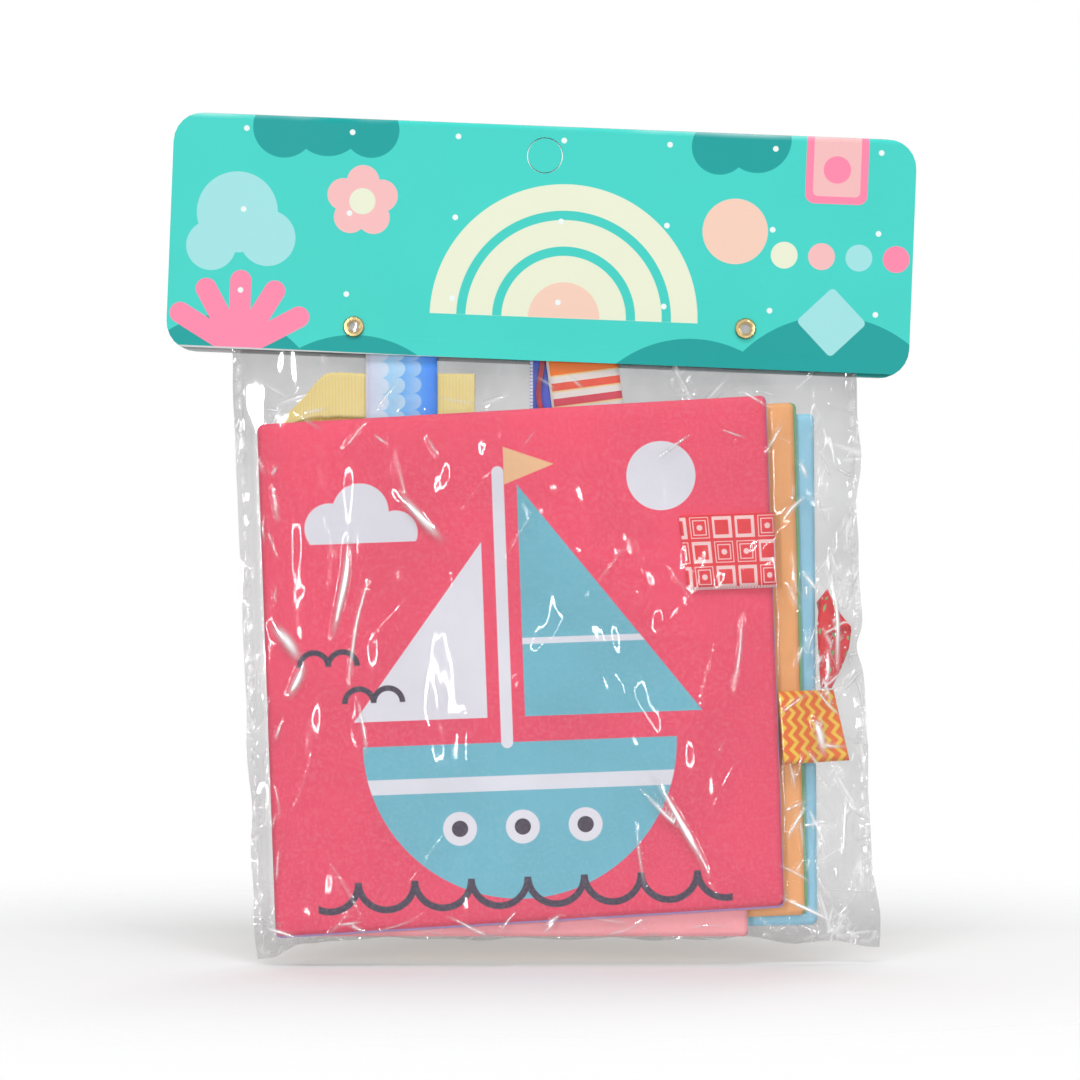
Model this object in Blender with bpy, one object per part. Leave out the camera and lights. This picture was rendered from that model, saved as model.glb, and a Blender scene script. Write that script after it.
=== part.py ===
"""Crinkle cloth book for a baby in its hanging pack, in metres, +Z up.

The pack hangs from the push-out hole in its folded header card, and that hole's centre,
half way through the card, is the origin. The cover faces -Y and the book's spine is on the
left, at -X. Four padded leaves turn about the sewn spine. Each leaf is a front cloth, a
crinkle film, a sheet of wadding and a back cloth. A clear bag of two films is held in the
card by two eyelets, and ribbon tags are sewn into the edges of the leaves.
"""

import math

import bmesh
import bpy
from mathutils import Matrix, Vector

# Clearance between pieces that touch on the real object, and how far a cutter overruns
FIT_GAP = 0.0003
CUT_OVERRUN = 0.002

# Folded header card. Its own frame is turned a little about the hang hole
CARD_WIDTH = 0.2387
CARD_ABOVE_HOLE = 0.0096
CARD_BELOW_HOLE = 0.0672
CARD_FRONT_SHORTER = 0.0012
CARD_CORNER_RADIUS = 0.0096
CARD_THICKNESS = 0.0005
CARD_SLOT = 0.00225
CARD_FLARE = 0.0016
CARD_FLARE_HEIGHT = 0.0050
CARD_TURN = math.radians(2.25)
CARD_CORNER_STEPS = 6
CARD_FOLD_STEPS = 6

# Push-out tab in the hang hole
HANG_HOLE_RADIUS = 0.0058
HANG_HOLE_SIDES = 28

# Brass eyelets, each placed across from the hang hole and down from it
EYELET_BORE_RADIUS = 0.0016
EYELET_BARREL_RADIUS = 0.0021
EYELET_FLANGE_RADIUS = 0.0034
EYELET_FLANGE_HEIGHT = 0.0007
EYELET_SIDES = 20
EYELET_LEFT_ACROSS = -0.0592
EYELET_LEFT_DOWN = 0.0574
EYELET_RIGHT_ACROSS = 0.0665
EYELET_RIGHT_DOWN = 0.0531
eyelet_roll_shares = ((0.0, 0.5), (0.4, 1.0), (0.8, 0.95), (1.0, 0.4), (0.94, 0.0))

# Bag of clear film
BAG_FILM = 0.0002
BAG_TOP_DOWN = 0.0120
BAG_LEFT_TOP_MARGIN = 0.0111
BAG_LEFT_BOTTOM_MARGIN = 0.0010
BAG_RIGHT_TOP_MARGIN = 0.0270
BAG_RIGHT_BOTTOM_MARGIN = 0.0373
BAG_BOTTOM_MARGIN = 0.0078
BAG_SEAL = 0.0025
BAG_EASE = 0.0008
BAG_RIGHT_RAMP = 0.0065
BAG_BOTTOM_RAMP = 0.0045
bag_ramp_share = 0.5
bag_inner_column_shares = (0.33, 0.67)

# Leaves of the book, in the order front, second, third, back
SPINE_TOP_X = -0.0918
SPINE_TOP_Z = -0.0867
BOOK_TURN = math.radians(-2.1)
LEAF_WIDTH = 0.1625
LEAF_HEIGHT = 0.1640
LEAF_CORNER = 0.0040
LEAF_STAGGER = 0.0030
CLOTH = 0.00045
CRINKLE_FILM = 0.0002
WADDING = 0.0010
leaf_names = ("front_leaf", "second_leaf", "third_leaf", "back_leaf")

# Corners of each leaf: across from its spine edge and down from the spine's top, as shares
# of the leaf's width and height, in the order top spine, top free, bottom free, bottom spine
leaf_corner_shares = {
    "front_leaf": ((0.0, 0.0), (1.0, -0.0205), (1.0, 0.9755), (0.0, 1.0)),
    "second_leaf": ((0.0, 0.009), (0.909, 0.040), (0.909, 1.031), (0.0, 0.998)),
    "third_leaf": ((0.0, 0.009), (1.024, -0.006), (1.010, 0.9945), (0.0, 0.997)),
    "back_leaf": ((0.0, 0.015), (1.041, 0.0165), (1.0105, 1.0168), (0.0, 0.998)),
}

# Swell of a leaf from its sewn edge inwards: ring as a share of the outline, swell as a share
crown_shares = ((1.0, 0.0), (0.965, 0.45), (0.9, 0.85), (0.72, 1.0))
filling_ring_shares = (0.93, 0.9, 0.72)
leaf_side_shares = (0.35, 0.65)
LEAF_CORNER_STEPS = 3

# Spine binding and its row of stitches
BINDING_STANDOFF = 0.00095
binding_run_shares = (-0.06, 0.2, 0.45, 0.7, 0.87)
binding_bulge_shares = (0.0, 0.35, 0.5, 0.35, 0.0)
BINDING_BULGE = 0.0008
binding_end_shares = (0.02, 0.985)
STITCH_PITCH = 0.0062
STITCH_THREAD = 0.0005
STITCH_RISE = 0.0004
stitch_shares = ((0.05, 0.0), (0.2, 1.0), (0.65, 1.0), (0.8, 0.0))

# Ribbon tags. A loop is two layers of ribbon with a fold at its tip
RIBBON = 0.0003
TAG_TIP_DOWN = 0.0640
SCALLOP_TAG_X = -0.0461
SCALLOP_TAG_WIDTH = 0.0230
YELLOW_RIBBON_WIDTH = 0.0144
YELLOW_RIBBON_LEFT = -0.0862
YELLOW_RIBBON_RIGHT = -0.0227
YELLOW_RIBBON_MIDDLE_Z = -0.0772
yellow_ribbon_shares = ((0.0, 0.08), (0.14, 0.5), (0.25, 1.0), (0.6, 1.0), (1.0, 1.0))
STRIPED_TAG_WIDTH = 0.0230
STRIPED_TAG_TOP_X = 0.0117
STRIPED_TAG_ROOT_X = 0.0143
ROYAL_RIBBON_WIDTH = 0.0096
ROYAL_RIBBON_LEFT = -0.0048
RED_LOOP_WIDTH = 0.0016
SQUARES_TAG_WIDTH = 0.0240
SQUARES_TAG_LENGTH = 0.0285
squares_tag_height_share = 0.302
squares_tag_root_shares = ((0.0, 0.0), (-1.5, 0.65))
squares_tag_root_share = 1.1
squares_tag_drop_share = 0.35
squares_tag_flat_shares = (0.1, 0.55, 1.0)
CHEVRON_TAG_WIDTH = 0.0232
CHEVRON_TAG_LENGTH = 0.0202
CHEVRON_TAG_SAG = 0.0064
chevron_tag_height_share = 0.65
chevron_tag_shares = ((0.045, 0.0), (0.22, 0.17), (0.5, 0.58), (0.75, 0.86), (1.0, 1.0))
CHEVRON_TAG_ROOT_LEAN = math.radians(1.8)
CHEVRON_TAG_TIP_LEAN = math.radians(10.7)

# Crumpled ribbon at the back leaf's free edge. Its path is across, forward and up from its
# root as shares of the crumple's size, then the ribbon's width as a share and its twist
CRUMPLE_WIDTH = 0.0090
CRUMPLE_DEPTH = 0.0040
CRUMPLE_HEIGHT = 0.0310
CRUMPLE_RIBBON_WIDTH = 0.0100
crumple_root_height_share = 0.37
crumple_path_shares = (
    (0.07, 0.02, 0.0, 0.7, 10.0),
    (0.3, 0.1, 0.08, 0.75, 20.0),
    (0.55, 0.35, 0.17, 0.8, 35.0),
    (0.74, 0.7, 0.14, 0.85, 60.0),
    (0.72, 0.95, 0.0, 0.9, 85.0),
    (0.56, 1.0, -0.24, 1.0, 95.0),
    (0.42, 0.9, -0.52, 0.7, 98.0),
    (0.32, 0.75, -0.82, 0.4, 98.0),
)

# Sizes that follow from the ones above
LEAF_HALF = (2 * CLOTH + CRINKLE_FILM + WADDING + 3 * FIT_GAP) / 2
EDGE_HALF = CLOTH + FIT_GAP / 2
LEAF_PITCH = 2 * LEAF_HALF + FIT_GAP
BACK_FILM_FACE = CARD_SLOT / 2 - FIT_GAP - BAG_FILM
BACK_LEAF_Y = BACK_FILM_FACE - FIT_GAP - LEAF_HALF
LAYER_PITCH = RIBBON + FIT_GAP
LOOP_HALF = RIBBON + FIT_GAP / 2
TAG_WRAP = LOOP_HALF + FIT_GAP
SEAL_Y = BACK_FILM_FACE - FIT_GAP - BAG_FILM / 2
SLOT_FILM_Y = -(CARD_SLOT / 2 - FIT_GAP - BAG_FILM / 2)
TAG_SLOT_Y = BACK_FILM_FACE - FIT_GAP - RIBBON - FIT_GAP - LOOP_HALF
YELLOW_Y = BACK_FILM_FACE - FIT_GAP - LOOP_HALF
TAG_FRONT_Y = YELLOW_Y - 2 * LOOP_HALF - FIT_GAP
FRONT_LEAF_Y = BACK_LEAF_Y - 3 * LEAF_PITCH
COVER_FILM_Y = FRONT_LEAF_Y - LEAF_HALF - 2 * FIT_GAP - 2 * LOOP_HALF - BAG_FILM / 2
BAG_LEFT_TOP = SPINE_TOP_X - BAG_LEFT_TOP_MARGIN
BAG_LEFT_BOTTOM = SPINE_TOP_X - BAG_LEFT_BOTTOM_MARGIN
BAG_RIGHT_TOP = SPINE_TOP_X + LEAF_WIDTH + BAG_RIGHT_TOP_MARGIN
BAG_RIGHT_BOTTOM = SPINE_TOP_X + LEAF_WIDTH + BAG_RIGHT_BOTTOM_MARGIN
BAG_BOTTOM = SPINE_TOP_Z - LEAF_HEIGHT - BAG_BOTTOM_MARGIN
CARD_FRAME = Matrix.Rotation(CARD_TURN, 4, "Y")
BOOK_FRAME = Matrix.Translation((SPINE_TOP_X, 0.0, SPINE_TOP_Z)) @ Matrix.Rotation(BOOK_TURN, 4, "Y")


def clear_scene():
    """Remove every object that the file opened with."""
    for found in list(bpy.data.objects):
        bpy.data.objects.remove(found, do_unlink=True)


def finish_material(name, colour, roughness, metallic=0.0, alpha=1.0):
    """One Principled material."""
    made = bpy.data.materials.new(name)
    made.use_nodes = True
    shader = made.node_tree.nodes["Principled BSDF"]
    shader.inputs["Base Color"].default_value = (*colour, 1.0)
    shader.inputs["Roughness"].default_value = roughness
    shader.inputs["Metallic"].default_value = metallic
    shader.inputs["Alpha"].default_value = alpha
    return made


def add_empty(name, place, turn=0.0, parent=None):
    """An empty that carries the pieces of one body, on that body's joint axis."""
    made = bpy.data.objects.new(name, None)
    made.location = place
    made.rotation_euler = (0.0, turn, 0.0)
    made.parent = parent
    bpy.context.scene.collection.objects.link(made)
    return made


def add_piece(name, bodies, material, parent=None, round_piece=False):
    """One object from a list of lofts. Each loft is (sections, whether it closes on itself)."""
    shape = bmesh.new()
    for sections, ring in bodies:
        loft(shape, sections, ring)
    bmesh.ops.recalc_face_normals(shape, faces=shape.faces)
    mesh = bpy.data.meshes.new(name)
    shape.to_mesh(mesh)
    shape.free()
    if round_piece:
        mesh.shade_smooth()
        mesh.set_sharp_from_angle(angle=math.radians(40.0))
    made = bpy.data.objects.new(name, mesh)
    made.parent = parent
    if material:
        mesh.materials.append(material)
    bpy.context.scene.collection.objects.link(made)
    return made


def loft(shape, sections, ring=False):
    """Join closed loops of points, one after another, and cap the ends unless it is a ring."""
    rows = [[shape.verts.new(point) for point in section] for section in sections]
    pairs = list(zip(rows, rows[1:]))
    if ring:
        pairs.append((rows[-1], rows[0]))
    for first, second in pairs:
        for n in range(len(first)):
            after = (n + 1) % len(first)
            shape.faces.new((first[n], first[after], second[after], second[n]))
    if not ring:
        shape.faces.new(rows[0][::-1])
        shape.faces.new(rows[-1])


def add_cutter(name, sections, parent=None):
    """A hidden tool shape for a Boolean."""
    made = add_piece(name, [(sections, False)], None, parent)
    made.hide_render = True
    made.display_type = "WIRE"
    return made


def cut(piece, cutter, operation="DIFFERENCE"):
    """Boolean one tool shape with a piece."""
    made = piece.modifiers.new(cutter.name, "BOOLEAN")
    made.operation = operation
    made.solver = "EXACT"
    made.object = cutter


def circle(centre_x, centre_z, radius, y, sides):
    """Points round a circle that faces along Y."""
    turns = [math.tau * n / sides for n in range(sides)]
    return [Vector((centre_x + radius * math.cos(t), y, centre_z + radius * math.sin(t))) for t in turns]


def mix(first, second, share):
    """Straight mix of two values."""
    return first + (second - first) * share


# Header card, its tab and its eyelets


def card_point(across, down):
    """World point on the card's middle plane, across and down from the hang hole."""
    return CARD_FRAME @ Vector((across, 0.0, -down))


def card_line_z(x, down):
    """Height of a line across the card, at a world x."""
    return -down / math.cos(CARD_TURN) - x * math.tan(CARD_TURN)


def rounded_card_outline(y):
    """Rounded outline of the flat card, as a loop at one depth."""
    points = []
    half = CARD_WIDTH / 2 - CARD_CORNER_RADIUS
    top = CARD_ABOVE_HOLE - CARD_CORNER_RADIUS
    bottom = CARD_CORNER_RADIUS - CARD_BELOW_HOLE
    corners = ((half, top), (-half, top), (-half, bottom), (half, bottom))
    for quarter, (x, z) in enumerate(corners):
        for step in range(CARD_CORNER_STEPS + 1):
            turn = math.pi / 2 * (quarter + step / CARD_CORNER_STEPS)
            points.append(
                Vector((x + CARD_CORNER_RADIUS * math.cos(turn), y, z + CARD_CORNER_RADIUS * math.sin(turn)))
            )
    return points


def card_fold(radius):
    """Half round of the fold, from the front panel over the top to the back panel."""
    centre = CARD_ABOVE_HOLE - CARD_SLOT / 2 - CARD_THICKNESS
    turns = [math.pi * (1 - n / CARD_FOLD_STEPS) for n in range(CARD_FOLD_STEPS + 1)]
    return [(radius * math.cos(t), centre + radius * math.sin(t)) for t in turns]


def header_card(material):
    """Card folded over the top of the bag, with its front panel opening a little at its foot."""
    inner = CARD_SLOT / 2
    outer = inner + CARD_THICKNESS
    front_foot = CARD_FRONT_SHORTER - CARD_BELOW_HOLE
    flare_top = front_foot + CARD_FLARE_HEIGHT
    profile = [(-outer - CARD_FLARE, front_foot), (-outer, flare_top)]
    profile += card_fold(outer)
    profile += [(outer, -CARD_BELOW_HOLE), (inner, -CARD_BELOW_HOLE)]
    profile += card_fold(inner)[::-1]
    profile += [(-inner, flare_top), (-inner - CARD_FLARE, front_foot)]
    half = CARD_WIDTH / 2 + CUT_OVERRUN
    sections = [[Vector((x, y, z)) for y, z in profile] for x in (-half, half)]
    card = add_piece("header_card", [(sections, False)], material)
    card.rotation_euler = (0.0, CARD_TURN, 0.0)
    reach = outer + CARD_FLARE + CUT_OVERRUN
    outline = add_cutter("card_outline", [rounded_card_outline(-reach), rounded_card_outline(reach)], card)
    cut(card, outline, "INTERSECT")
    hole = [circle(0.0, 0.0, HANG_HOLE_RADIUS, y, HANG_HOLE_SIDES) for y in (-reach, reach)]
    cut(card, add_cutter("hang_hole_cut", hole, card))
    return card


def hang_tabs(material, parent):
    """The two discs that push out of the hang hole, one in each panel."""
    radius = HANG_HOLE_RADIUS - FIT_GAP
    inner = CARD_SLOT / 2
    outer = inner + CARD_THICKNESS
    for name, faces in (("hang_tab_front", (-outer, -inner)), ("hang_tab_back", (inner, outer))):
        sections = [circle(0.0, 0.0, radius, y, HANG_HOLE_SIDES) for y in faces]
        add_piece(name, [(sections, False)], material, parent, round_piece=True)


def eyelet(name, across, down, material):
    """Barrel with a rolled flange on each side of the card."""
    face = CARD_SLOT / 2 + CARD_THICKNESS + FIT_GAP
    reach = EYELET_FLANGE_RADIUS - EYELET_BORE_RADIUS
    roll = [(EYELET_BORE_RADIUS + reach * r, face + EYELET_FLANGE_HEIGHT * h) for r, h in eyelet_roll_shares]
    profile = [(r, -y) for r, y in roll] + [(EYELET_BARREL_RADIUS, -face), (EYELET_BARREL_RADIUS, face)]
    profile += roll[::-1]
    sections = []
    for n in range(EYELET_SIDES):
        turn = math.tau * n / EYELET_SIDES
        sections.append([Vector((r * math.cos(turn), y, r * math.sin(turn))) for r, y in profile])
    made = add_piece(name, [(sections, True)], material, round_piece=True)
    made.location = card_point(across, down)
    return made


def eyelet_cutter(name, across, down):
    """Hole for an eyelet's barrel through the card and both films."""
    place = card_point(across, down)
    reach = CARD_SLOT + CARD_FLARE + CUT_OVERRUN
    radius = EYELET_BARREL_RADIUS + FIT_GAP
    return add_cutter(name, [circle(place.x, place.z, radius, y, EYELET_SIDES) for y in (-reach, reach)])


# Leaves


def leaf_y(index):
    """Depth of a leaf's middle plane."""
    return BACK_LEAF_Y - (len(leaf_names) - 1 - index) * LEAF_PITCH


def hinge_place(index):
    """Top of a leaf's hinge axis, in the book's frame."""
    return Vector((LEAF_STAGGER * index, leaf_y(index), 0.0))


def leaf_point(name, across, down):
    """Point on a leaf from two shares, from its spine edge and from its top, in its own frame."""
    corners = [Vector((x * LEAF_WIDTH, 0.0, -z * LEAF_HEIGHT)) for x, z in leaf_corner_shares[name]]
    top = corners[0].lerp(corners[1], across)
    bottom = corners[3].lerp(corners[2], across)
    return top.lerp(bottom, down)


def leaf_world_point(name, across, down):
    """The same point in the world."""
    return BOOK_FRAME @ (hinge_place(leaf_names.index(name)) + leaf_point(name, across, down))


def leaf_outline():
    """Outline of a leaf as pairs of shares, with rounded corners, from the top spine corner on."""
    wide = LEAF_CORNER / LEAF_WIDTH
    tall = LEAF_CORNER / LEAF_HEIGHT
    points = []
    for quarter, (x, z) in enumerate(((wide, tall), (1 - wide, tall), (1 - wide, 1 - tall), (wide, 1 - tall))):
        for step in range(LEAF_CORNER_STEPS + 1):
            turn = math.pi / 2 * (quarter + step / LEAF_CORNER_STEPS)
            points.append((x - wide * math.cos(turn), z - tall * math.sin(turn)))
        along = (quarter + 1) % 4
        for share in leaf_side_shares:
            side = ((share, 0.0), (1.0, share), (1 - share, 1.0), (0.0, 1 - share))
            points.append(side[along - 1] if along else side[3])
    return points


def crown(ring):
    """Swell at a ring of the leaf, as a share of the full swell."""
    for (outer, low), (inner, high) in zip(crown_shares, crown_shares[1:]):
        if ring >= inner:
            return mix(high, low, (ring - inner) / (outer - inner))
    return 1.0


def leaf_ring(name, ring, depth):
    """One loop of the leaf at a ring share, at a depth from its middle plane."""
    points = []
    for x, z in leaf_outline():
        point = leaf_point(name, mix(0.5, x, ring), mix(0.5, z, ring))
        points.append(Vector((point.x, depth, point.z)))
    return points


def leaf_sheet(name, rings, front, back):
    """Loft of one sheet of a leaf: its front face from the middle out, then its back face."""
    faces = [leaf_ring(name, ring, front(crown(ring))) for ring in rings[::-1]]
    faces += [leaf_ring(name, ring, back(crown(ring))) for ring in rings]
    return faces


def cloth_outside(swell):
    """Half thickness of a leaf where its swell is this share."""
    return mix(EDGE_HALF, LEAF_HALF, swell)


def cloth_inside(swell):
    """Half of the hollow between a leaf's two cloths."""
    return cloth_outside(swell) - CLOTH


def film_front(swell):
    """Depth of the crinkle film's front face."""
    return FIT_GAP - cloth_inside(swell)


def leaf(name, colours, fillings, parent):
    """Two cloths sewn round their edge over a crinkle film and a sheet of wadding."""
    rings = [ring for ring, swell in crown_shares]
    sheets = {
        "front_cloth": (rings, lambda s: -cloth_outside(s), lambda s: -cloth_inside(s), colours[0]),
        "back_cloth": (rings, cloth_inside, cloth_outside, colours[1]),
        "crinkle_film": (filling_ring_shares, film_front, lambda s: film_front(s) + CRINKLE_FILM, fillings[0]),
        "wadding": (
            filling_ring_shares,
            lambda s: film_front(s) + CRINKLE_FILM + FIT_GAP,
            lambda s: cloth_inside(s) - FIT_GAP,
            fillings[1],
        ),
    }
    for part, (part_rings, front, back, material) in sheets.items():
        sections = leaf_sheet(name, part_rings, front, back)
        add_piece(f"{name}_{part}", [(sections, False)], material, parent, round_piece=True)


# Spine


def spine_run(share, standoff):
    """Point beside the row of hinges, in the book's frame: 0 at the back leaf, 1 at the front."""
    back = hinge_place(len(leaf_names) - 1)
    front = hinge_place(0)
    run = front - back
    outward = Vector((run.y, -run.x, 0.0)).normalized()
    return back + run * share + outward * standoff


def spine_binding(material, parent):
    """Cloth strip over the spine edges of the back three leaves."""
    top, bottom = (Vector((0.0, 0.0, -share * LEAF_HEIGHT)) for share in binding_end_shares)
    path = []
    for share, bulge in zip(binding_run_shares, binding_bulge_shares):
        path.append(spine_run(share, BINDING_STANDOFF + BINDING_BULGE * bulge) + (top + bottom) / 2)
    width = (bottom - top).length
    sections = strip(path, [Vector((0.0, 0.0, 1.0))] * len(path), [width] * len(path), CLOTH)
    add_piece("spine_binding", [(sections, False)], material, parent)


def spine_stitches(material, parent):
    """Row of stitches down the middle of the binding: one thread, proud over each stitch."""
    middle = len(binding_run_shares) // 2
    bulge = BINDING_BULGE * binding_bulge_shares[middle]
    low = BINDING_STANDOFF + bulge + CLOTH / 2 + FIT_GAP + STITCH_THREAD / 2
    length = (binding_end_shares[1] - binding_end_shares[0]) * LEAF_HEIGHT
    count = int(length / STITCH_PITCH)
    first = binding_end_shares[0] * LEAF_HEIGHT + (length - count * STITCH_PITCH) / 2
    path = []
    for n in range(count):
        for down, proud in stitch_shares:
            place = spine_run(binding_run_shares[middle], low + STITCH_RISE * proud)
            path.append(place - Vector((0.0, 0.0, first + STITCH_PITCH * (n + down))))
    across = [Vector((1.0, 0.0, 0.0))] * len(path)
    sections = strip(path, across, [STITCH_THREAD] * len(path), STITCH_THREAD)
    add_piece("spine_stitches", [(sections, False)], material, parent)


# Ribbons


def directions(path):
    """Unit direction of a path at each of its points."""
    found = []
    for n in range(len(path)):
        before = path[max(n - 1, 0)]
        after = path[min(n + 1, len(path) - 1)]
        found.append((after - before).normalized())
    return found


def strip(path, across, widths, thickness):
    """Sections of a flat strip that runs along a path, its width along the across directions."""
    sections = []
    for point, along, side, width in zip(path, directions(path), across, widths):
        up = along.cross(side).normalized() * thickness / 2
        wide = side.normalized() * width / 2
        sections.append([point - wide - up, point + wide - up, point + wide + up, point - wide + up])
    return sections


def doubled(path, across, widths):
    """The way out and back of a flat loop whose two layers lie either side of a path."""
    normals = [along.cross(side).normalized() for along, side in zip(directions(path), across)]
    half = LAYER_PITCH / 2
    out = [point + normal * half for point, normal in zip(path, normals)]
    back = [point - normal * half for point, normal in zip(path, normals)]
    tip = []
    for step in (0.25, 0.5, 0.75):
        turn = math.pi * step
        tip.append(path[-1] + (normals[-1] * math.cos(turn) + directions(path)[-1] * math.sin(turn)) * half)
    turned = [across[-1]] * len(tip)
    return out + tip + back[::-1], across + turned + across[::-1], widths + [widths[-1]] * len(tip) + widths[::-1]


def tag_loop(name, path, across, widths, material, parent=None):
    """A flat loop of ribbon."""
    layers = doubled(path, across, widths)
    return add_piece(name, [(strip(*layers, RIBBON), False)], material, parent)


def back_leaf_top(x):
    """Height of the back leaf's top edge at a world x."""
    left = leaf_world_point("back_leaf", 0.0, 0.0)
    right = leaf_world_point("back_leaf", 1.0, 0.0)
    return mix(left.z, right.z, (x - left.x) / (right.x - left.x))


def along_book(path):
    """Directions for a ribbon sewn square to the back leaf's top edge."""
    return [BOOK_FRAME.to_3x3() @ Vector((1.0, 0.0, 0.0))] * len(path)


def upright_path(root_x, tip_x, root_y, forward_y, bend_z, tip_y):
    """Path of a ribbon from the back leaf's top edge up into the card."""
    card_foot = card_line_z(tip_x, CARD_BELOW_HOLE)
    root = Vector((root_x, root_y, back_leaf_top(root_x) + FIT_GAP))
    tip = Vector((tip_x, tip_y, card_line_z(tip_x, TAG_TIP_DOWN) - LAYER_PITCH / 2))
    heights = (mix(root.z, bend_z, 0.25), bend_z, card_foot)
    path = [root]
    for z, y in zip(heights, (forward_y, forward_y, tip_y)):
        path.append(Vector((mix(root_x, tip_x, (z - root.z) / (tip.z - root.z)), y, z)))
    return path + [tip]


def scallop_tag(material):
    """Wide blue loop in front of the yellow ribbon."""
    yellow_top = YELLOW_RIBBON_MIDDLE_Z + YELLOW_RIBBON_WIDTH / 2 + FIT_GAP
    path = upright_path(SCALLOP_TAG_X, SCALLOP_TAG_X, BACK_LEAF_Y, TAG_FRONT_Y, yellow_top, TAG_SLOT_Y)
    tag_loop("scallop_tag", path, along_book(path), [SCALLOP_TAG_WIDTH] * len(path), material)


def striped_tag(material):
    """Wide striped loop that leans a little."""
    card_foot = card_line_z(STRIPED_TAG_TOP_X, CARD_BELOW_HOLE)
    bend = mix(back_leaf_top(STRIPED_TAG_ROOT_X), card_foot, 0.5)
    path = upright_path(STRIPED_TAG_ROOT_X, STRIPED_TAG_TOP_X, BACK_LEAF_Y, TAG_SLOT_Y, bend, TAG_SLOT_Y)
    tag_loop("striped_tag", path, along_book(path), [STRIPED_TAG_WIDTH] * len(path), material)


def royal_blue_ribbon(material):
    """One layer of ribbon, partly behind the striped tag."""
    middle = ROYAL_RIBBON_LEFT + ROYAL_RIBBON_WIDTH / 2
    depth = BACK_FILM_FACE - FIT_GAP - RIBBON / 2
    bend = mix(back_leaf_top(middle), card_line_z(middle, CARD_BELOW_HOLE), 0.5)
    path = upright_path(middle, middle, depth, depth, bend, depth)
    sections = strip(path, along_book(path), [ROYAL_RIBBON_WIDTH] * len(path), RIBBON)
    add_piece("royal_blue_ribbon", [(sections, False)], material)


def dark_red_loop(material):
    """Narrow loop of ribbon beside the striped tag, in front of the royal blue one."""
    striped_left = STRIPED_TAG_TOP_X - STRIPED_TAG_WIDTH / 2
    middle = striped_left - FIT_GAP - RED_LOOP_WIDTH / 2
    bend = mix(back_leaf_top(middle), card_line_z(middle, CARD_BELOW_HOLE), 0.5)
    path = upright_path(middle, middle, BACK_LEAF_Y, TAG_SLOT_Y, bend, TAG_SLOT_Y)
    tag_loop("dark_red_loop", path, along_book(path), [RED_LOOP_WIDTH] * len(path), material)


def yellow_ribbon(material):
    """Long loop laid along the top edge, drawn to a point where it folds at its left end."""
    foot = back_leaf_top(YELLOW_RIBBON_LEFT) + FIT_GAP
    tip = YELLOW_RIBBON_RIGHT - LAYER_PITCH / 2
    path, widths = [], []
    for along, wide in yellow_ribbon_shares:
        width = YELLOW_RIBBON_WIDTH * wide
        height = mix(foot + width / 2, YELLOW_RIBBON_MIDDLE_Z, wide)
        path.append(Vector((mix(YELLOW_RIBBON_LEFT, tip, along), YELLOW_Y, height)))
        widths.append(width)
    across = [Vector((0.0, 0.0, 1.0))] * len(path)
    tag_loop("yellow_ribbon", path, across, widths, material)


def squares_tag_offset():
    """Fold line of the squares tag, from the cover's free edge: a little out and forward of it."""
    out = TAG_WRAP * squares_tag_root_share
    return Vector((out, EDGE_HALF + TAG_WRAP * squares_tag_drop_share, 0.0))


def squares_tag(material, parent):
    """Loop sewn into the cover's free edge and folded back onto the cover."""
    seat = LEAF_HALF + FIT_GAP + LOOP_HALF - squares_tag_offset().y
    path = [Vector((TAG_WRAP * x, -seat * y, 0.0)) for x, y in squares_tag_root_shares]
    length = SQUARES_TAG_LENGTH - LAYER_PITCH / 2
    path += [Vector((-length * x, -seat, 0.0)) for x in squares_tag_flat_shares]
    across = [Vector((0.0, 0.0, 1.0))] * len(path)
    tag_loop("squares_tag", path, across, [SQUARES_TAG_WIDTH] * len(path), material, parent)


def chevron_tag(material, parent):
    """Loop that stands out of the cover's free edge and is pressed back over the other leaves."""
    path, across = [], []
    for out, back in chevron_tag_shares:
        path.append(Vector((CHEVRON_TAG_LENGTH * out, CHEVRON_TAG_SAG * back, 0.0)))
        lean = mix(CHEVRON_TAG_ROOT_LEAN, CHEVRON_TAG_TIP_LEAN, out)
        across.append(Vector((-math.sin(lean), 0.0, math.cos(lean))))
    tag_loop("chevron_tag", path, across, [CHEVRON_TAG_WIDTH] * len(path), material, parent)


def crumpled_ribbon(material, parent):
    """Ribbon sewn into the back leaf's free edge, twisted and folded over itself."""
    path, across, widths = [], [], []
    for out, forward, up, wide, twist in crumple_path_shares:
        path.append(Vector((CRUMPLE_WIDTH * out, -CRUMPLE_DEPTH * forward, CRUMPLE_HEIGHT * up)))
        turn = math.radians(90.0 - twist)
        across.append(Vector((math.cos(turn), 0.0, math.sin(turn))))
        widths.append(CRUMPLE_RIBBON_WIDTH * wide)
    add_piece("crumpled_ribbon", [(strip(path, across, widths, RIBBON), False)], material, parent)


# Bag


def bag_left(z):
    """Left edge of the bag at a height."""
    share = (z + BAG_TOP_DOWN) / (BAG_BOTTOM + BAG_TOP_DOWN)
    return mix(BAG_LEFT_TOP, BAG_LEFT_BOTTOM, share)


def bag_right(z):
    """Right edge of the bag at a height."""
    share = (z + BAG_TOP_DOWN) / (BAG_BOTTOM + BAG_TOP_DOWN)
    return mix(BAG_RIGHT_TOP, BAG_RIGHT_BOTTOM, share)


def cover_edge(across, z):
    """Where the cover's spine edge or free edge, carried on, is at a height."""
    top = leaf_world_point("front_leaf", across, 0.0)
    bottom = leaf_world_point("front_leaf", across, 1.0)
    return mix(top.x, bottom.x, (z - top.z) / (bottom.z - top.z))


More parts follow.
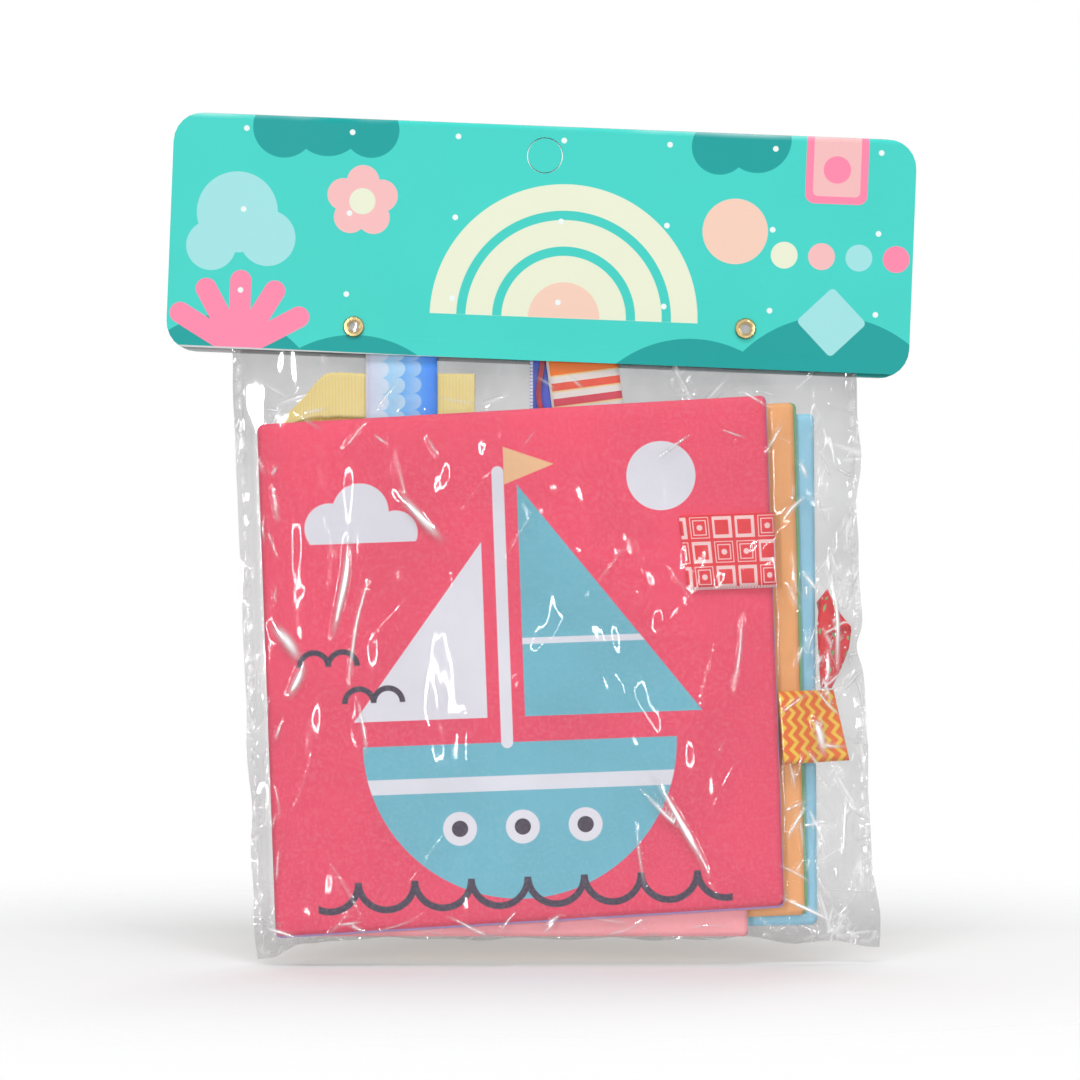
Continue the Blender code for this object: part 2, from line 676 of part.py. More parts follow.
def film_columns(z):
    """Places across the bag at a height, each with its share of the row's depth."""
    left = cover_edge(0.0, z) - BAG_EASE
    right = cover_edge(1.0, z) + BAG_EASE
    columns = [(bag_left(z), 0.0), (bag_left(z) + BAG_SEAL, 0.0), (left, 1.0)]
    columns += [(mix(left, right, share), 1.0) for share in bag_inner_column_shares]
    columns += [(right, 1.0), (bag_right(z) - BAG_RIGHT_RAMP, bag_ramp_share)]
    return columns + [(bag_right(z) - BAG_SEAL, 0.0), (bag_right(z), 0.0)]


def film_rows():
    """Rows down the front film: height at any x, and the film's depth there."""
    flare = SLOT_FILM_Y - CARD_FLARE
    flare_down = CARD_BELOW_HOLE - CARD_FRONT_SHORTER
    top_left = leaf_world_point("front_leaf", 0.0, 0.0)
    top_right = leaf_world_point("front_leaf", 1.0, 0.0)
    slope = (top_right.z - top_left.z) / (top_right.x - top_left.x)
    lowest = BAG_BOTTOM + BAG_SEAL + BAG_BOTTOM_RAMP
    middle = mix(top_left.z, BAG_BOTTOM, 0.5)
    return [
        (lambda x: card_line_z(x, BAG_TOP_DOWN), SLOT_FILM_Y),
        (lambda x: card_line_z(x, flare_down - CARD_FLARE_HEIGHT), SLOT_FILM_Y),
        (lambda x: card_line_z(x, flare_down), flare),
        (lambda x: top_left.z + BAG_EASE + (x - top_left.x) * slope, COVER_FILM_Y),
        (lambda x: middle, COVER_FILM_Y),
        (lambda x: lowest, COVER_FILM_Y),
        (lambda x: BAG_BOTTOM + BAG_SEAL, SEAL_Y),
        (lambda x: BAG_BOTTOM, SEAL_Y),
    ]


def bag_front_film(material):
    """Front film: flat in the card, then out over the cover and down to the side and foot seals."""
    sections = []
    for height, depth in film_rows():
        front, back = [], []
        columns = film_columns(height(0.0))
        for n in range(len(columns)):
            x = columns[n][0]
            x = film_columns(height(x))[n][0]
            y = mix(SEAL_Y, depth, columns[n][1])
            front.append(Vector((x, y - BAG_FILM / 2, height(x))))
            back.append(Vector((x, y + BAG_FILM / 2, height(x))))
        sections.append(front + back[::-1])
    return add_piece("bag_front_film", [(sections, False)], material)


def bag_back_film(material):
    """Flat back film, the same outline as the front one."""
    top_left = card_line_z(BAG_LEFT_TOP, BAG_TOP_DOWN)
    top_right = card_line_z(BAG_RIGHT_TOP, BAG_TOP_DOWN)
    outline = (
        (bag_left(top_left), top_left),
        (bag_right(top_right), top_right),
        (BAG_RIGHT_BOTTOM, BAG_BOTTOM),
        (BAG_LEFT_BOTTOM, BAG_BOTTOM),
    )
    faces = (BACK_FILM_FACE, BACK_FILM_FACE + BAG_FILM)
    sections = [[Vector((x, y, z)) for x, z in outline] for y in faces]
    return add_piece("bag_back_film", [(sections, False)], material)


def build():
    """Make every piece."""
    clear_scene()
    printed_card = finish_material("printed_card", (0.08, 0.73, 0.61), 0.35)
    brass = finish_material("brass", (0.72, 0.53, 0.25), 0.3, metallic=1.0)
    clear_film = finish_material("clear_film", (0.9, 0.92, 0.93), 0.15, alpha=0.25)
    crinkle = finish_material("crinkle_film", (0.85, 0.87, 0.9), 0.2, alpha=0.6)
    wadding = finish_material("wadding", (0.93, 0.93, 0.92), 0.95)
    thread = finish_material("spine_thread", (0.85, 0.25, 0.33), 0.7)
    cloths = {
        "front_leaf": ((0.86, 0.13, 0.21), (0.42, 0.33, 0.68)),
        "second_leaf": ((0.75, 0.30, 0.30), (0.85, 0.80, 0.55)),
        "third_leaf": ((0.78, 0.35, 0.12), (0.22, 0.47, 0.20)),
        "back_leaf": ((0.12, 0.41, 0.58), (0.80, 0.52, 0.16)),
    }

    card = header_card(printed_card)
    tab_slide = add_empty("hang_tab_slide", (0.0, 0.0, 0.0), CARD_TURN)
    hang_tabs(printed_card, tab_slide)
    front_film = bag_front_film(clear_film)
    back_film = bag_back_film(clear_film)
    eyelets = (
        ("eyelet_left", EYELET_LEFT_ACROSS, EYELET_LEFT_DOWN),
        ("eyelet_right", EYELET_RIGHT_ACROSS, EYELET_RIGHT_DOWN),
    )
    for name, across, down in eyelets:
        eyelet(name, across, down, brass)
        hole = eyelet_cutter(f"{name}_hole", across, down)
        for holed in (card, front_film, back_film):
            cut(holed, hole)

    book = add_empty("book_frame", (SPINE_TOP_X, 0.0, SPINE_TOP_Z), BOOK_TURN)
    hinges = {}
    for index, name in enumerate(leaf_names):
        hinges[name] = add_empty(f"{name}_hinge", hinge_place(index), parent=book)
        colours = [
            finish_material(f"{name}_{side}_cloth", colour, 0.9)
            for side, colour in zip(("front", "back"), cloths[name])
        ]
        leaf(name, colours, (crinkle, wadding), hinges[name])
    spine_binding(finish_material("spine_binding", (0.86, 0.13, 0.21), 0.9), book)
    spine_stitches(thread, book)

    yellow_ribbon(finish_material("yellow_grosgrain", (0.80, 0.62, 0.24), 0.6))
    scallop_tag(finish_material("blue_scallop_satin", (0.15, 0.42, 0.90), 0.4))
    striped_tag(finish_material("striped_satin", (0.85, 0.30, 0.15), 0.5))
    royal_blue_ribbon(finish_material("royal_blue_satin", (0.07, 0.13, 0.65), 0.4))
    dark_red_loop(finish_material("dark_red_satin", (0.45, 0.03, 0.05), 0.4))
    offset = squares_tag_offset()
    free_edge = leaf_point("front_leaf", 1.0, squares_tag_height_share) + Vector((offset.x, -offset.y, 0.0))
    squares_hinge = add_empty("squares_tag_hinge", free_edge, parent=hinges["front_leaf"])
    squares_tag(finish_material("red_squares_satin", (0.75, 0.05, 0.08), 0.45), squares_hinge)
    free_edge = leaf_point("front_leaf", 1.0, chevron_tag_height_share)
    chevron_hinge = add_empty("chevron_tag_hinge", free_edge, parent=hinges["front_leaf"])
    chevron_tag(finish_material("orange_chevron_satin", (0.88, 0.25, 0.05), 0.45), chevron_hinge)
    free_edge = leaf_point("back_leaf", 1.0, crumple_root_height_share)
    ribbon_hinge = add_empty("crumpled_ribbon_hinge", free_edge, parent=hinges["back_leaf"])
    crumpled_ribbon(finish_material("red_ribbon_satin", (0.72, 0.03, 0.05), 0.4), ribbon_hinge)


build()
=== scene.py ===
"""Crinkle cloth book in its hanging bag: soft goods, clear film, printed card, light and camera.

The file is laid out as an add-on and is run as a script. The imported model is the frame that
every piece sits on, in metres, with the cover facing -Y and the spine at -X.
"""

import math
import random

import bmesh
import bpy
from bpy.props import FloatProperty, FloatVectorProperty, IntProperty, PointerProperty
from mathutils import Matrix, Vector, noise


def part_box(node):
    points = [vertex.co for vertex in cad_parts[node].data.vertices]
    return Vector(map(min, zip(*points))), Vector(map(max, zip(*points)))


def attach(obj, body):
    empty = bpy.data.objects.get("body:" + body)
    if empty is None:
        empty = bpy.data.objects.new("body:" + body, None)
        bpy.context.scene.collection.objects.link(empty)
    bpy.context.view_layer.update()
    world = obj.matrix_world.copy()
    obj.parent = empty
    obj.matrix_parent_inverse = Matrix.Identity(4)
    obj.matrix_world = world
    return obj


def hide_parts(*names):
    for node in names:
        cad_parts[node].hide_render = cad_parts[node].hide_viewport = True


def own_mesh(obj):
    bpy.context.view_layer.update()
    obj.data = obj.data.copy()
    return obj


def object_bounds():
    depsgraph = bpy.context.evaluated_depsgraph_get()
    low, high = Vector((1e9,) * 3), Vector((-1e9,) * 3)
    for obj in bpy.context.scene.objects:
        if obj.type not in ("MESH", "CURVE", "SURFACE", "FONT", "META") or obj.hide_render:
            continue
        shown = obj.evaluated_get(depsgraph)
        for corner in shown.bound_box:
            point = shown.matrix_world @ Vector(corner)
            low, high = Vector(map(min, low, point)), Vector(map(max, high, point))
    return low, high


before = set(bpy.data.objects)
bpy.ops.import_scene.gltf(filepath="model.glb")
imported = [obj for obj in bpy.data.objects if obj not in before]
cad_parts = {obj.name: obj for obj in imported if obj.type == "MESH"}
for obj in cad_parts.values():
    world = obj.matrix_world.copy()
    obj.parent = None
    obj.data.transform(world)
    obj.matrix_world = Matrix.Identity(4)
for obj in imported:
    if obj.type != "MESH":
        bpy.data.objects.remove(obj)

bl_info = {
    "name": "Crinkle Cloth Book",
    "version": (1, 0, 0),
    "blender": (4, 5, 0),
    "location": "View3D > Sidebar > Cloth Book",
    "description": "Makes a crinkle cloth book for a baby in its hanging bag",
    "category": "Object",
}

CAD_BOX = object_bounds()
MM = 0.001

# Card, book and bag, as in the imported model
CARD_TURN = math.radians(2.25)
CARD_FOOT_DOWN = 0.0660
CARD_SEEN_DOWN = 0.0672
CARD_HOLD_DOWN = 0.0640
BOOK_TURN = math.radians(-2.1)
SPINE_TOP = Vector((-0.0918, 0.0, -0.0867))
BOOK_FRAME = Matrix.Translation(SPINE_TOP) @ Matrix.Rotation(BOOK_TURN, 4, "Y")
BOOK_DIRECTIONS = BOOK_FRAME.to_3x3()
LEAF_WIDTH = 0.1625
LEAF_HEIGHT = 0.1640
LEAF_CORNER = 0.0018
LEAF_STAGGER = 0.0030
LEAF_PITCH = 0.0033
LEAF_HALF = 0.0015
BACK_LEAF_Y = -0.001175
LEAF_CORNERS = {
    "front_leaf": ((0.0, 0.0), (1.0, -0.0205), (1.0, 0.9755), (0.0, 1.0)),
    "second_leaf": ((0.0, 0.009), (0.909, 0.040), (0.909, 1.031), (0.0, 0.998)),
    "third_leaf": ((0.0, 0.009), (1.024, -0.006), (1.010, 0.9945), (0.0, 0.997)),
    "back_leaf": ((0.0, 0.015), (1.041, 0.0165), (1.0105, 1.0168), (0.0, 0.998)),
}
LEAF_NAMES = tuple(LEAF_CORNERS)
NO_INSET = (0.0, 0.0, 0.0, 0.0)
FRONT_INSETS = {"front_leaf": (0.0, 0.0018, 0.0, 0.0045), "third_leaf": (0.0, 0.0060, 0.0, 0.0)}
FILLING_INSET = 0.035
LAYER = 0.0003
BACK_FILM_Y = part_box("bag_back_film")[0].y
FRONT_SEAL_Y, FRONT_FILM_Y = -0.0003, -0.0144
BAG_MOUTH_Z, BAG_FOOT_Z = -0.0120, -0.2585
BAG_FOOT = (
    (-0.0970, BAG_FOOT_Z),
    (-0.0885, -0.2580),
    (-0.0780, -0.2532),
    (-0.0600, -0.2518),
    (0.0660, -0.2518),
    (0.0930, -0.2530),
    (0.1090, -0.2545),
)
FLOOR_Z = CAD_BOX[0].z - 0.0012


def srgb(red, green, blue):
    """Linear colour from a screen colour of 0 to 255."""
    shares = [value / 255 for value in (red, green, blue)]
    return tuple(s / 12.92 if s <= 0.04045 else ((s + 0.055) / 1.055) ** 2.4 for s in shares)


def colour_property(name, description, screen_colour):
    """A colour with a default."""
    default = srgb(*screen_colour)
    return FloatVectorProperty(
        name=name, description=description, default=default, subtype="COLOR", min=0.0, max=1.0
    )


def length_property(name, description, default):
    """A length with a default."""
    return FloatProperty(name=name, description=description, default=default, unit="LENGTH")


class BookSizes(bpy.types.PropertyGroup):
    """Sizes of the soft pieces."""

    leaf_cells: IntProperty(
        name="Leaf cells", description="Cells along each side of a leaf's cloth", default=96, min=24, max=160
    )
    cloth: length_property("Cloth", "Thickness of the printed cloth", 0.00045)
    ribbon: length_property("Ribbon", "Thickness of the ribbon tags", 0.0003)
    swell: length_property("Swell", "Extra swell of the cover under the film", 0.0007)
    pucker: length_property("Pucker", "Height of the gathers along a sewn edge", 0.00022)
    crumple: length_property("Crumple", "Height of the folds in the bag's film", 0.0013)


class BookColours(bpy.types.PropertyGroup):
    """Colours of the prints and ribbons."""

    card: colour_property("Card", "Ground of the header card", (68, 209, 197))
    card_dark: colour_property("Card hills", "Dark shapes on the header card", (24, 160, 157))
    cover: colour_property("Cover", "Ground of the cover", (250, 88, 116))
    cover_motif: colour_property("Cover motif", "Boat on the cover", (118, 188, 206))
    lavender: colour_property("Lavender", "Back of the front leaf", (185, 161, 215))
    salmon: colour_property("Salmon", "Front of the second leaf", (255, 172, 178))
    butter: colour_property("Butter", "Back of the second leaf", (240, 226, 160))
    orange: colour_property("Orange", "Front of the third leaf", (250, 180, 120))
    leaf_green: colour_property("Green", "Back of the third leaf", (128, 182, 128))
    sky: colour_property("Sky", "Front of the back leaf", (158, 215, 240))
    apricot: colour_property("Apricot", "Back of the back leaf", (244, 190, 128))
    grosgrain: colour_property("Grosgrain", "Yellow ribbed ribbon", (244, 224, 156))


def settings():
    """Sizes and colours from the scene."""
    return bpy.context.scene.cloth_book_sizes, bpy.context.scene.cloth_book_colours


# Materials


class Surface:
    """One material, with short names for the nodes that draw its print and its relief.

    The print lies on self.place, in millimetres, across in X and up in Z, and self.drawn is what
    is drawn so far. A shape gives the distance from its edge, less than zero inside.
    """

    def __init__(self, name, colour, roughness, metallic=0.0):
        self.material = bpy.data.materials.new(name)
        self.material.use_nodes = True
        self.tree = self.material.node_tree
        self.shader = self.tree.nodes["Principled BSDF"]
        self.object_place = self.node("TexCoord").outputs["Object"]
        self.place = self.object_place
        self.drawn = colour
        self.shade("Base Color", colour)
        self.shade("Roughness", roughness)
        self.shade("Metallic", metallic)

    def put(self, socket, value):
        """Link a socket, or set it. A colour gets its fourth part."""
        if isinstance(value, bpy.types.NodeSocket):
            self.tree.links.new(value, socket)
        elif value is not None:
            socket.default_value = (*value, 1.0) if socket.type == "RGBA" else value

    def shade(self, name, value):
        """Send a value to the shader."""
        self.put(self.shader.inputs[name], value)

    def node(self, kind, *values, **options):
        """One node with its options, and with its first inputs linked or set."""
        made = self.tree.nodes.new("ShaderNode" + kind)
        for name, option in options.items():
            setattr(made, name, option)
        for socket, value in zip(made.inputs, values):
            self.put(socket, value)
        return made

    def maths(self, operation, *values, clamp=False):
        """One Math node."""
        return self.node("Math", *values, operation=operation, use_clamp=clamp).outputs[0]

    def vector(self, operation, first, second=None, scale=None):
        """One Vector Math node."""
        made = self.node("VectorMath", first, second, None, scale, operation=operation)
        return made.outputs["Value" if operation in {"DISTANCE", "LENGTH", "DOT_PRODUCT"} else "Vector"]

    def axes(self, place):
        """The three parts of a vector."""
        return self.node("SeparateXYZ", place).outputs

    def noise(self, scale, detail=2.0, stretch=None):
        """Noise from 0 to 1 all through the object."""
        place = self.vector("MULTIPLY", self.object_place, stretch) if stretch else self.object_place
        return self.node("TexNoise", place, None, scale, detail).outputs["Fac"]

    def ramp(self, value, low, high, at_low=0.0, at_high=1.0):
        """Smooth step between two values."""
        made = self.node("MapRange", value, low, high, at_low, at_high, interpolation_type="SMOOTHSTEP")
        return made.outputs[0]

    def mix(self, share, first, second, blend="MIX"):
        """Mix of two colours."""
        made = self.node("Mix", share, data_type="RGBA", blend_type=blend)
        for socket, value in zip([s for s in made.inputs if s.type == "RGBA"], (first, second)):
            self.put(socket, value)
        return next(s for s in made.outputs if s.type == "RGBA")

    def bands(self, value, colours, width):
        """Flat colours, one after another, each as wide as asked, from zero on."""
        made = self.node("ValToRGB", self.maths("DIVIDE", value, width * len(colours)))
        made.color_ramp.interpolation = "CONSTANT"
        stops = made.color_ramp.elements
        while len(stops) < len(colours):
            stops.new(0.5)
        for n, colour in enumerate(colours):
            stops[n].position = n / len(colours)
            stops[n].color = (*colour, 1.0)
        return made.outputs[0]

    # Places to draw on

    def flat_place(self, origin, turn):
        """Place on a flat print."""
        made = self.node(
            "Mapping", self.object_place, origin, (0.0, turn, 0.0), (MM, MM, MM), vector_type="TEXTURE"
        )
        return self.vector("MULTIPLY", made.outputs[0], (1.0, 0.0, 1.0))

    def tile(self, width, height, place=None):
        """Place within the cell of a repeated pattern, from its middle."""
        made = self.node("VectorMath", place or self.place, operation="WRAP")
        self.put(made.inputs[1], (width / 2, 1.0, height / 2))
        self.put(made.inputs[2], (-width / 2, -1.0, -height / 2))
        return made.outputs[0]

    # Shapes of a print

    def disc(self, at, radius, place=None):
        """Round shape."""
        return self.grow(self.vector("DISTANCE", place or self.place, (at[0], 0.0, at[1])), radius)

    def discs(self, *rounds):
        """Round shapes together, each a middle and a radius."""
        return self.join(*(self.disc(at, radius) for at, radius in rounds))

    def ring(self, at, radius, half_width, place=None):
        """Round band."""
        return self.grow(self.maths("ABSOLUTE", self.disc(at, radius, place)), half_width)

    def box(self, at, half, corner, turn=0.0, place=None):
        """Box with round corners."""
        moved = self.vector("SUBTRACT", place or self.place, (at[0], 0.0, at[1]))
        if turn:
            moved = self.node("VectorRotate", moved, None, None, turn, rotation_type="Y_AXIS").outputs[0]
        folded = self.vector("ABSOLUTE", moved)
        outside = self.vector("SUBTRACT", folded, (half[0] - corner, 0.0, half[1] - corner))
        reach = self.vector("MAXIMUM", outside, (0.0, 0.0, 0.0))
        return self.grow(self.vector("LENGTH", reach), corner)

    def bar(self, start, end, radius):
        """Straight bar with round ends."""
        run = Vector((end[0] - start[0], 0.0, end[1] - start[1]))
        moved = self.vector("SUBTRACT", self.place, (start[0], 0.0, start[1]))
        along = self.maths("MULTIPLY", self.vector("DOT_PRODUCT", moved, run), 1 / run.length_squared)
        share = self.maths("MINIMUM", self.maths("MAXIMUM", along, 0.0), 1.0)
        nearest = self.vector("SCALE", run, scale=share)
        return self.grow(self.vector("DISTANCE", moved, nearest), radius)

    def side(self, at, facing):
        """Everything behind a straight line."""
        normal = Vector((facing[0], 0.0, facing[1])).normalized()
        reach = normal.x * at[0] + normal.z * at[1]
        return self.grow(self.vector("DOT_PRODUCT", self.place, normal), reach)

    def above(self, height):
        """Everything above a level line."""
        return self.side((0.0, height), (0.0, -1.0))

    def below(self, height):
        """Everything below a level line."""
        return self.side((0.0, height), (0.0, 1.0))

    def left_of(self, across):
        """Everything left of an upright line."""
        return self.side((across, 0.0), (1.0, 0.0))

    def right_of(self, across):
        """Everything right of an upright line."""
        return self.side((across, 0.0), (-1.0, 0.0))

    def join(self, first, *others):
        """All of the shapes together."""
        for shape in others:
            first = self.maths("MINIMUM", first, shape)
        return first

    def meet(self, first, *others):
        """Where all of the shapes lie over each other."""
        for shape in others:
            first = self.maths("MAXIMUM", first, shape)
        return first

    def grow(self, shape, by):
        """The shape, larger all round, with round corners."""
        return self.maths("SUBTRACT", shape, by)

    def paint(self, colour, *shapes, soft=0.14):
        """Lay one colour over the print where the shapes meet."""
        self.drawn = self.mix(self.ramp(self.meet(*shapes), -soft, soft, 1.0, 0.0), self.drawn, colour)

    # Finishes

    def relief(self, *layers):
        """Bump layers, each a height from 0 to 1 and its depth in metres."""
        normal = None
        for height, depth in layers:
            normal = self.node("Bump", 1.0, depth, None, height, normal).outputs[0]
        self.shade("Normal", normal)

    def weave(self, pitch):
        """Plain weave of a fine cloth, as a height."""
        across, _, along = self.axes(self.place)
        over = self.maths("SINE", self.maths("MULTIPLY", across, math.tau / pitch))
        under = self.maths("SINE", self.maths("MULTIPLY", along, math.tau / pitch))
        return self.maths("MULTIPLY_ADD", self.maths("MULTIPLY", over, under), 0.5, 0.5)

    def cloth(self):
        """Brushed printed cloth: soft sheen, fine weave, gentle rubbing and uneven dye."""
        cloudy = self.noise(30.0, 3.0)
        dyed = self.mix(self.ramp(cloudy, 0.3, 0.7), self.drawn, (0.88, 0.87, 0.88), "MULTIPLY")
        dyed = self.mix(0.5, self.drawn, dyed)
        fuzz = self.noise(1100.0)
        self.shade("Base Color", self.mix(self.ramp(fuzz, 0.4, 0.8, 0.0, 0.06), dyed, (1.0, 1.0, 1.0)))
        self.shade("Sheen Weight", 0.12)
        self.shade("Sheen Roughness", 0.5)
        self.shade("Specular IOR Level", 0.2)
        self.relief((self.noise(42.0), 0.0014), (fuzz, 0.00004), (self.weave(0.45), 0.00004))

    def satin(self):
        """Ribbon satin: a stronger sheen, soft creases and a fine weave."""
        self.shade("Base Color", self.drawn)
        self.shade("Sheen Weight", 0.3)
        self.shade("Specular IOR Level", 0.5)
        self.relief((self.noise(160.0), 0.0006), (self.weave(0.42), 0.00005))
        return self


def page_surface(name, draw):
    """Printed cloth with its print drawn in the book's own directions."""
    art = Surface(name, (0.5, 0.5, 0.5), 0.85)
    art.place = art.flat_place(SPINE_TOP, BOOK_TURN)
    draw(art, settings()[1])
    art.cloth()
    return art


def ribbon_surface(name, colour, roughness):
    """Ribbon with its print across it from its middle in X and along it in Z."""
    art = Surface(name, colour, roughness)
    parts = art.axes(art.vector("SCALE", art.node("UVMap", uv_map="Ribbon").outputs[0], scale=1 / MM))
    art.place = art.node("CombineXYZ", parts[0], None, parts[1]).outputs[0]
    return art


def plain_surface(name, colour, roughness, relief_depth, scale, metallic=0.0):
    """Plain material with fine unevenness."""
    art = Surface(name, colour, roughness, metallic)
    grain = art.noise(scale, 3.0)
    art.relief((grain, relief_depth))
    art.shade("Base Color", art.mix(art.ramp(grain, 0.3, 0.7), [c * 0.88 for c in colour], colour))
    return art


# Prints


def around(middle, reach, turns):
    """Places at one distance from a middle, in the directions given."""
    return [(middle[0] + reach * math.cos(turn), middle[1] + reach * math.sin(turn)) for turn in turns]


def sailboat_print(art, colours):
    """Cover: a boat on the sea under a white sun."""
    white, ink, boat = srgb(232, 231, 240), srgb(82, 74, 90), colours.cover_motif
    down = art.axes(art.place)[2]
    # The ground is painted darker towards the bottom: painted shade, as if lit from above.
    art.drawn = art.mix(art.ramp(down, -165.0, 0.0), srgb(234, 84, 112), colours.cover)
    art.paint(white, art.disc((128.0, -21.0), 11.0))
    puffs = art.discs(((22, -34), 8), ((32, -29), 9), ((43, -36), 7))
    art.paint(white, art.join(puffs, art.box((32, -37), (11, 5), 0.5)), art.above(-39))
    hull = art.grow(art.meet(art.disc((80, -104), 47.0), art.below(-107)), 3.0)
    art.paint(boat, hull)
    art.paint(white, hull, art.box((80, -117), (60, 2.4), 0.1))
    for across in (60.0, 80.0, 100.0):
        art.paint(white, art.disc((across, -131), 5.4))
        art.paint(ink, art.disc((across, -131), 2.6))
    art.paint(white, art.bar((76, -104), (76, -18), 1.9))
    main = art.grow(art.meet(art.right_of(84), art.above(-94), art.side((84, -28), (68, 52))), 2.0)
    art.paint(boat, main)
    art.paint(white, main, art.box((108, -72), (60, 1.0), 0.1))
    art.paint(white, art.grow(art.meet(art.left_of(68), art.above(-94), art.side((68, -46), (-50, 38))), 2.0))
    pennant = (art.right_of(78), art.side((78, -10), (6, 16)), art.side((78, -22), (6, -16)))
    art.paint(srgb(246, 196, 150), *pennant)
    waves = art.ring((0, -147), 9.0, 1.1, art.tile(18.0, 800.0))
    art.paint(ink, waves, art.below(-147), art.box((80, -155), (66, 20), 1.0))
    for across, height in ((20, -78), (34, -90)):
        wings = art.join(*(art.ring((across + s, height), 4.6, 0.9) for s in (-4.6, 4.6)))
        art.paint(ink, wings, art.above(height))


def moon_print(art, colours):
    """Back of the front leaf: a moon among dots."""
    art.drawn = colours.lavender
    art.paint(srgb(238, 232, 250), art.disc((0, 0), 1.6, art.tile(22.0, 22.0)))
    outside = art.maths("MULTIPLY", art.disc((104, -72), 27.0), -1.0)
    art.paint(srgb(250, 240, 196), art.disc((86, -80), 34.0), outside)


def flower_print(art, colours):
    """Front of the second leaf: a round flower."""
    art.drawn = colours.salmon
    art.paint(srgb(96, 150, 118), art.bar((76, -92), (76, -150), 3.0))
    for at in around((76, -66), 24, [math.tau * n / 7 for n in range(7)]):
        art.paint(srgb(250, 236, 220), art.disc(at, 14.0))
    art.paint(srgb(245, 186, 90), art.disc((76, -66), 15.0))


def umbrella_print(art, colours):
    """Back of the second leaf: an umbrella."""
    art.drawn = colours.butter
    art.paint(srgb(96, 86, 110), art.bar((78, -50), (78, -134), 2.2))
    dome = art.meet(art.disc((78, -88), 52.0), art.above(-88))
    art.paint(srgb(228, 110, 120), dome)
    art.paint(srgb(250, 240, 228), dome, art.box((78, -60), (15, 60), 1.0))


def tree_print(art, colours):
    """Front of the third leaf: a round tree."""
    art.drawn = colours.orange
    art.paint(srgb(150, 98, 74), art.bar((80, -80), (80, -150), 6.0))
    art.paint(srgb(108, 168, 120), art.disc((80, -66), 38.0))
    for at in ((66, -54), (92, -50), (98, -78), (74, -86), (80, -66)):
        art.paint(srgb(238, 84, 92), art.disc(at, 4.6))


def hill_print(art, colours):
    """Back of the third leaf: a cloud over the sun."""
    art.drawn = colours.leaf_green
    art.paint(srgb(250, 214, 110), art.disc((102, -60), 24.0))
    puffs = art.discs(((56, -98), 20), ((82, -86), 25), ((110, -96), 20))
    art.paint(srgb(242, 246, 248), puffs, art.above(-108))


def balloon_print(art, colours):
    """Front of the back leaf: a striped balloon."""
    art.drawn = colours.sky
    ball = art.disc((82, -66), 40.0)
    art.paint(srgb(250, 244, 236), ball)
    for across in (58.0, 82.0, 106.0):
        art.paint(srgb(236, 96, 104), ball, art.box((across, -66), (6, 60), 0.5))
    art.paint(srgb(176, 120, 82), art.box((82, -126), (11, 8), 2.5))


def dots_print(art, colours):
    """Back of the back leaf: large dots, with small ones between them."""
    art.drawn = colours.apricot
    art.paint(srgb(250, 240, 220), art.disc((0, 0), 5.0, art.tile(32.0, 32.0)))
    between = art.tile(32.0, 32.0, art.vector("SUBTRACT", art.place, (16.0, 0.0, 16.0)))
    art.paint(srgb(240, 112, 118), art.disc((0, 0), 2.6, between))


def binding_print(art, colours):
    """Unevenly dyed red binding."""
    art.drawn = art.mix(art.noise(70.0, 3.0), srgb(228, 84, 112), srgb(240, 108, 132))


PRINTS = {
    "front_leaf": (sailboat_print, moon_print),
    "second_leaf": (flower_print, umbrella_print),
    "third_leaf": (tree_print, hill_print),
    "back_leaf": (balloon_print, dots_print),
}


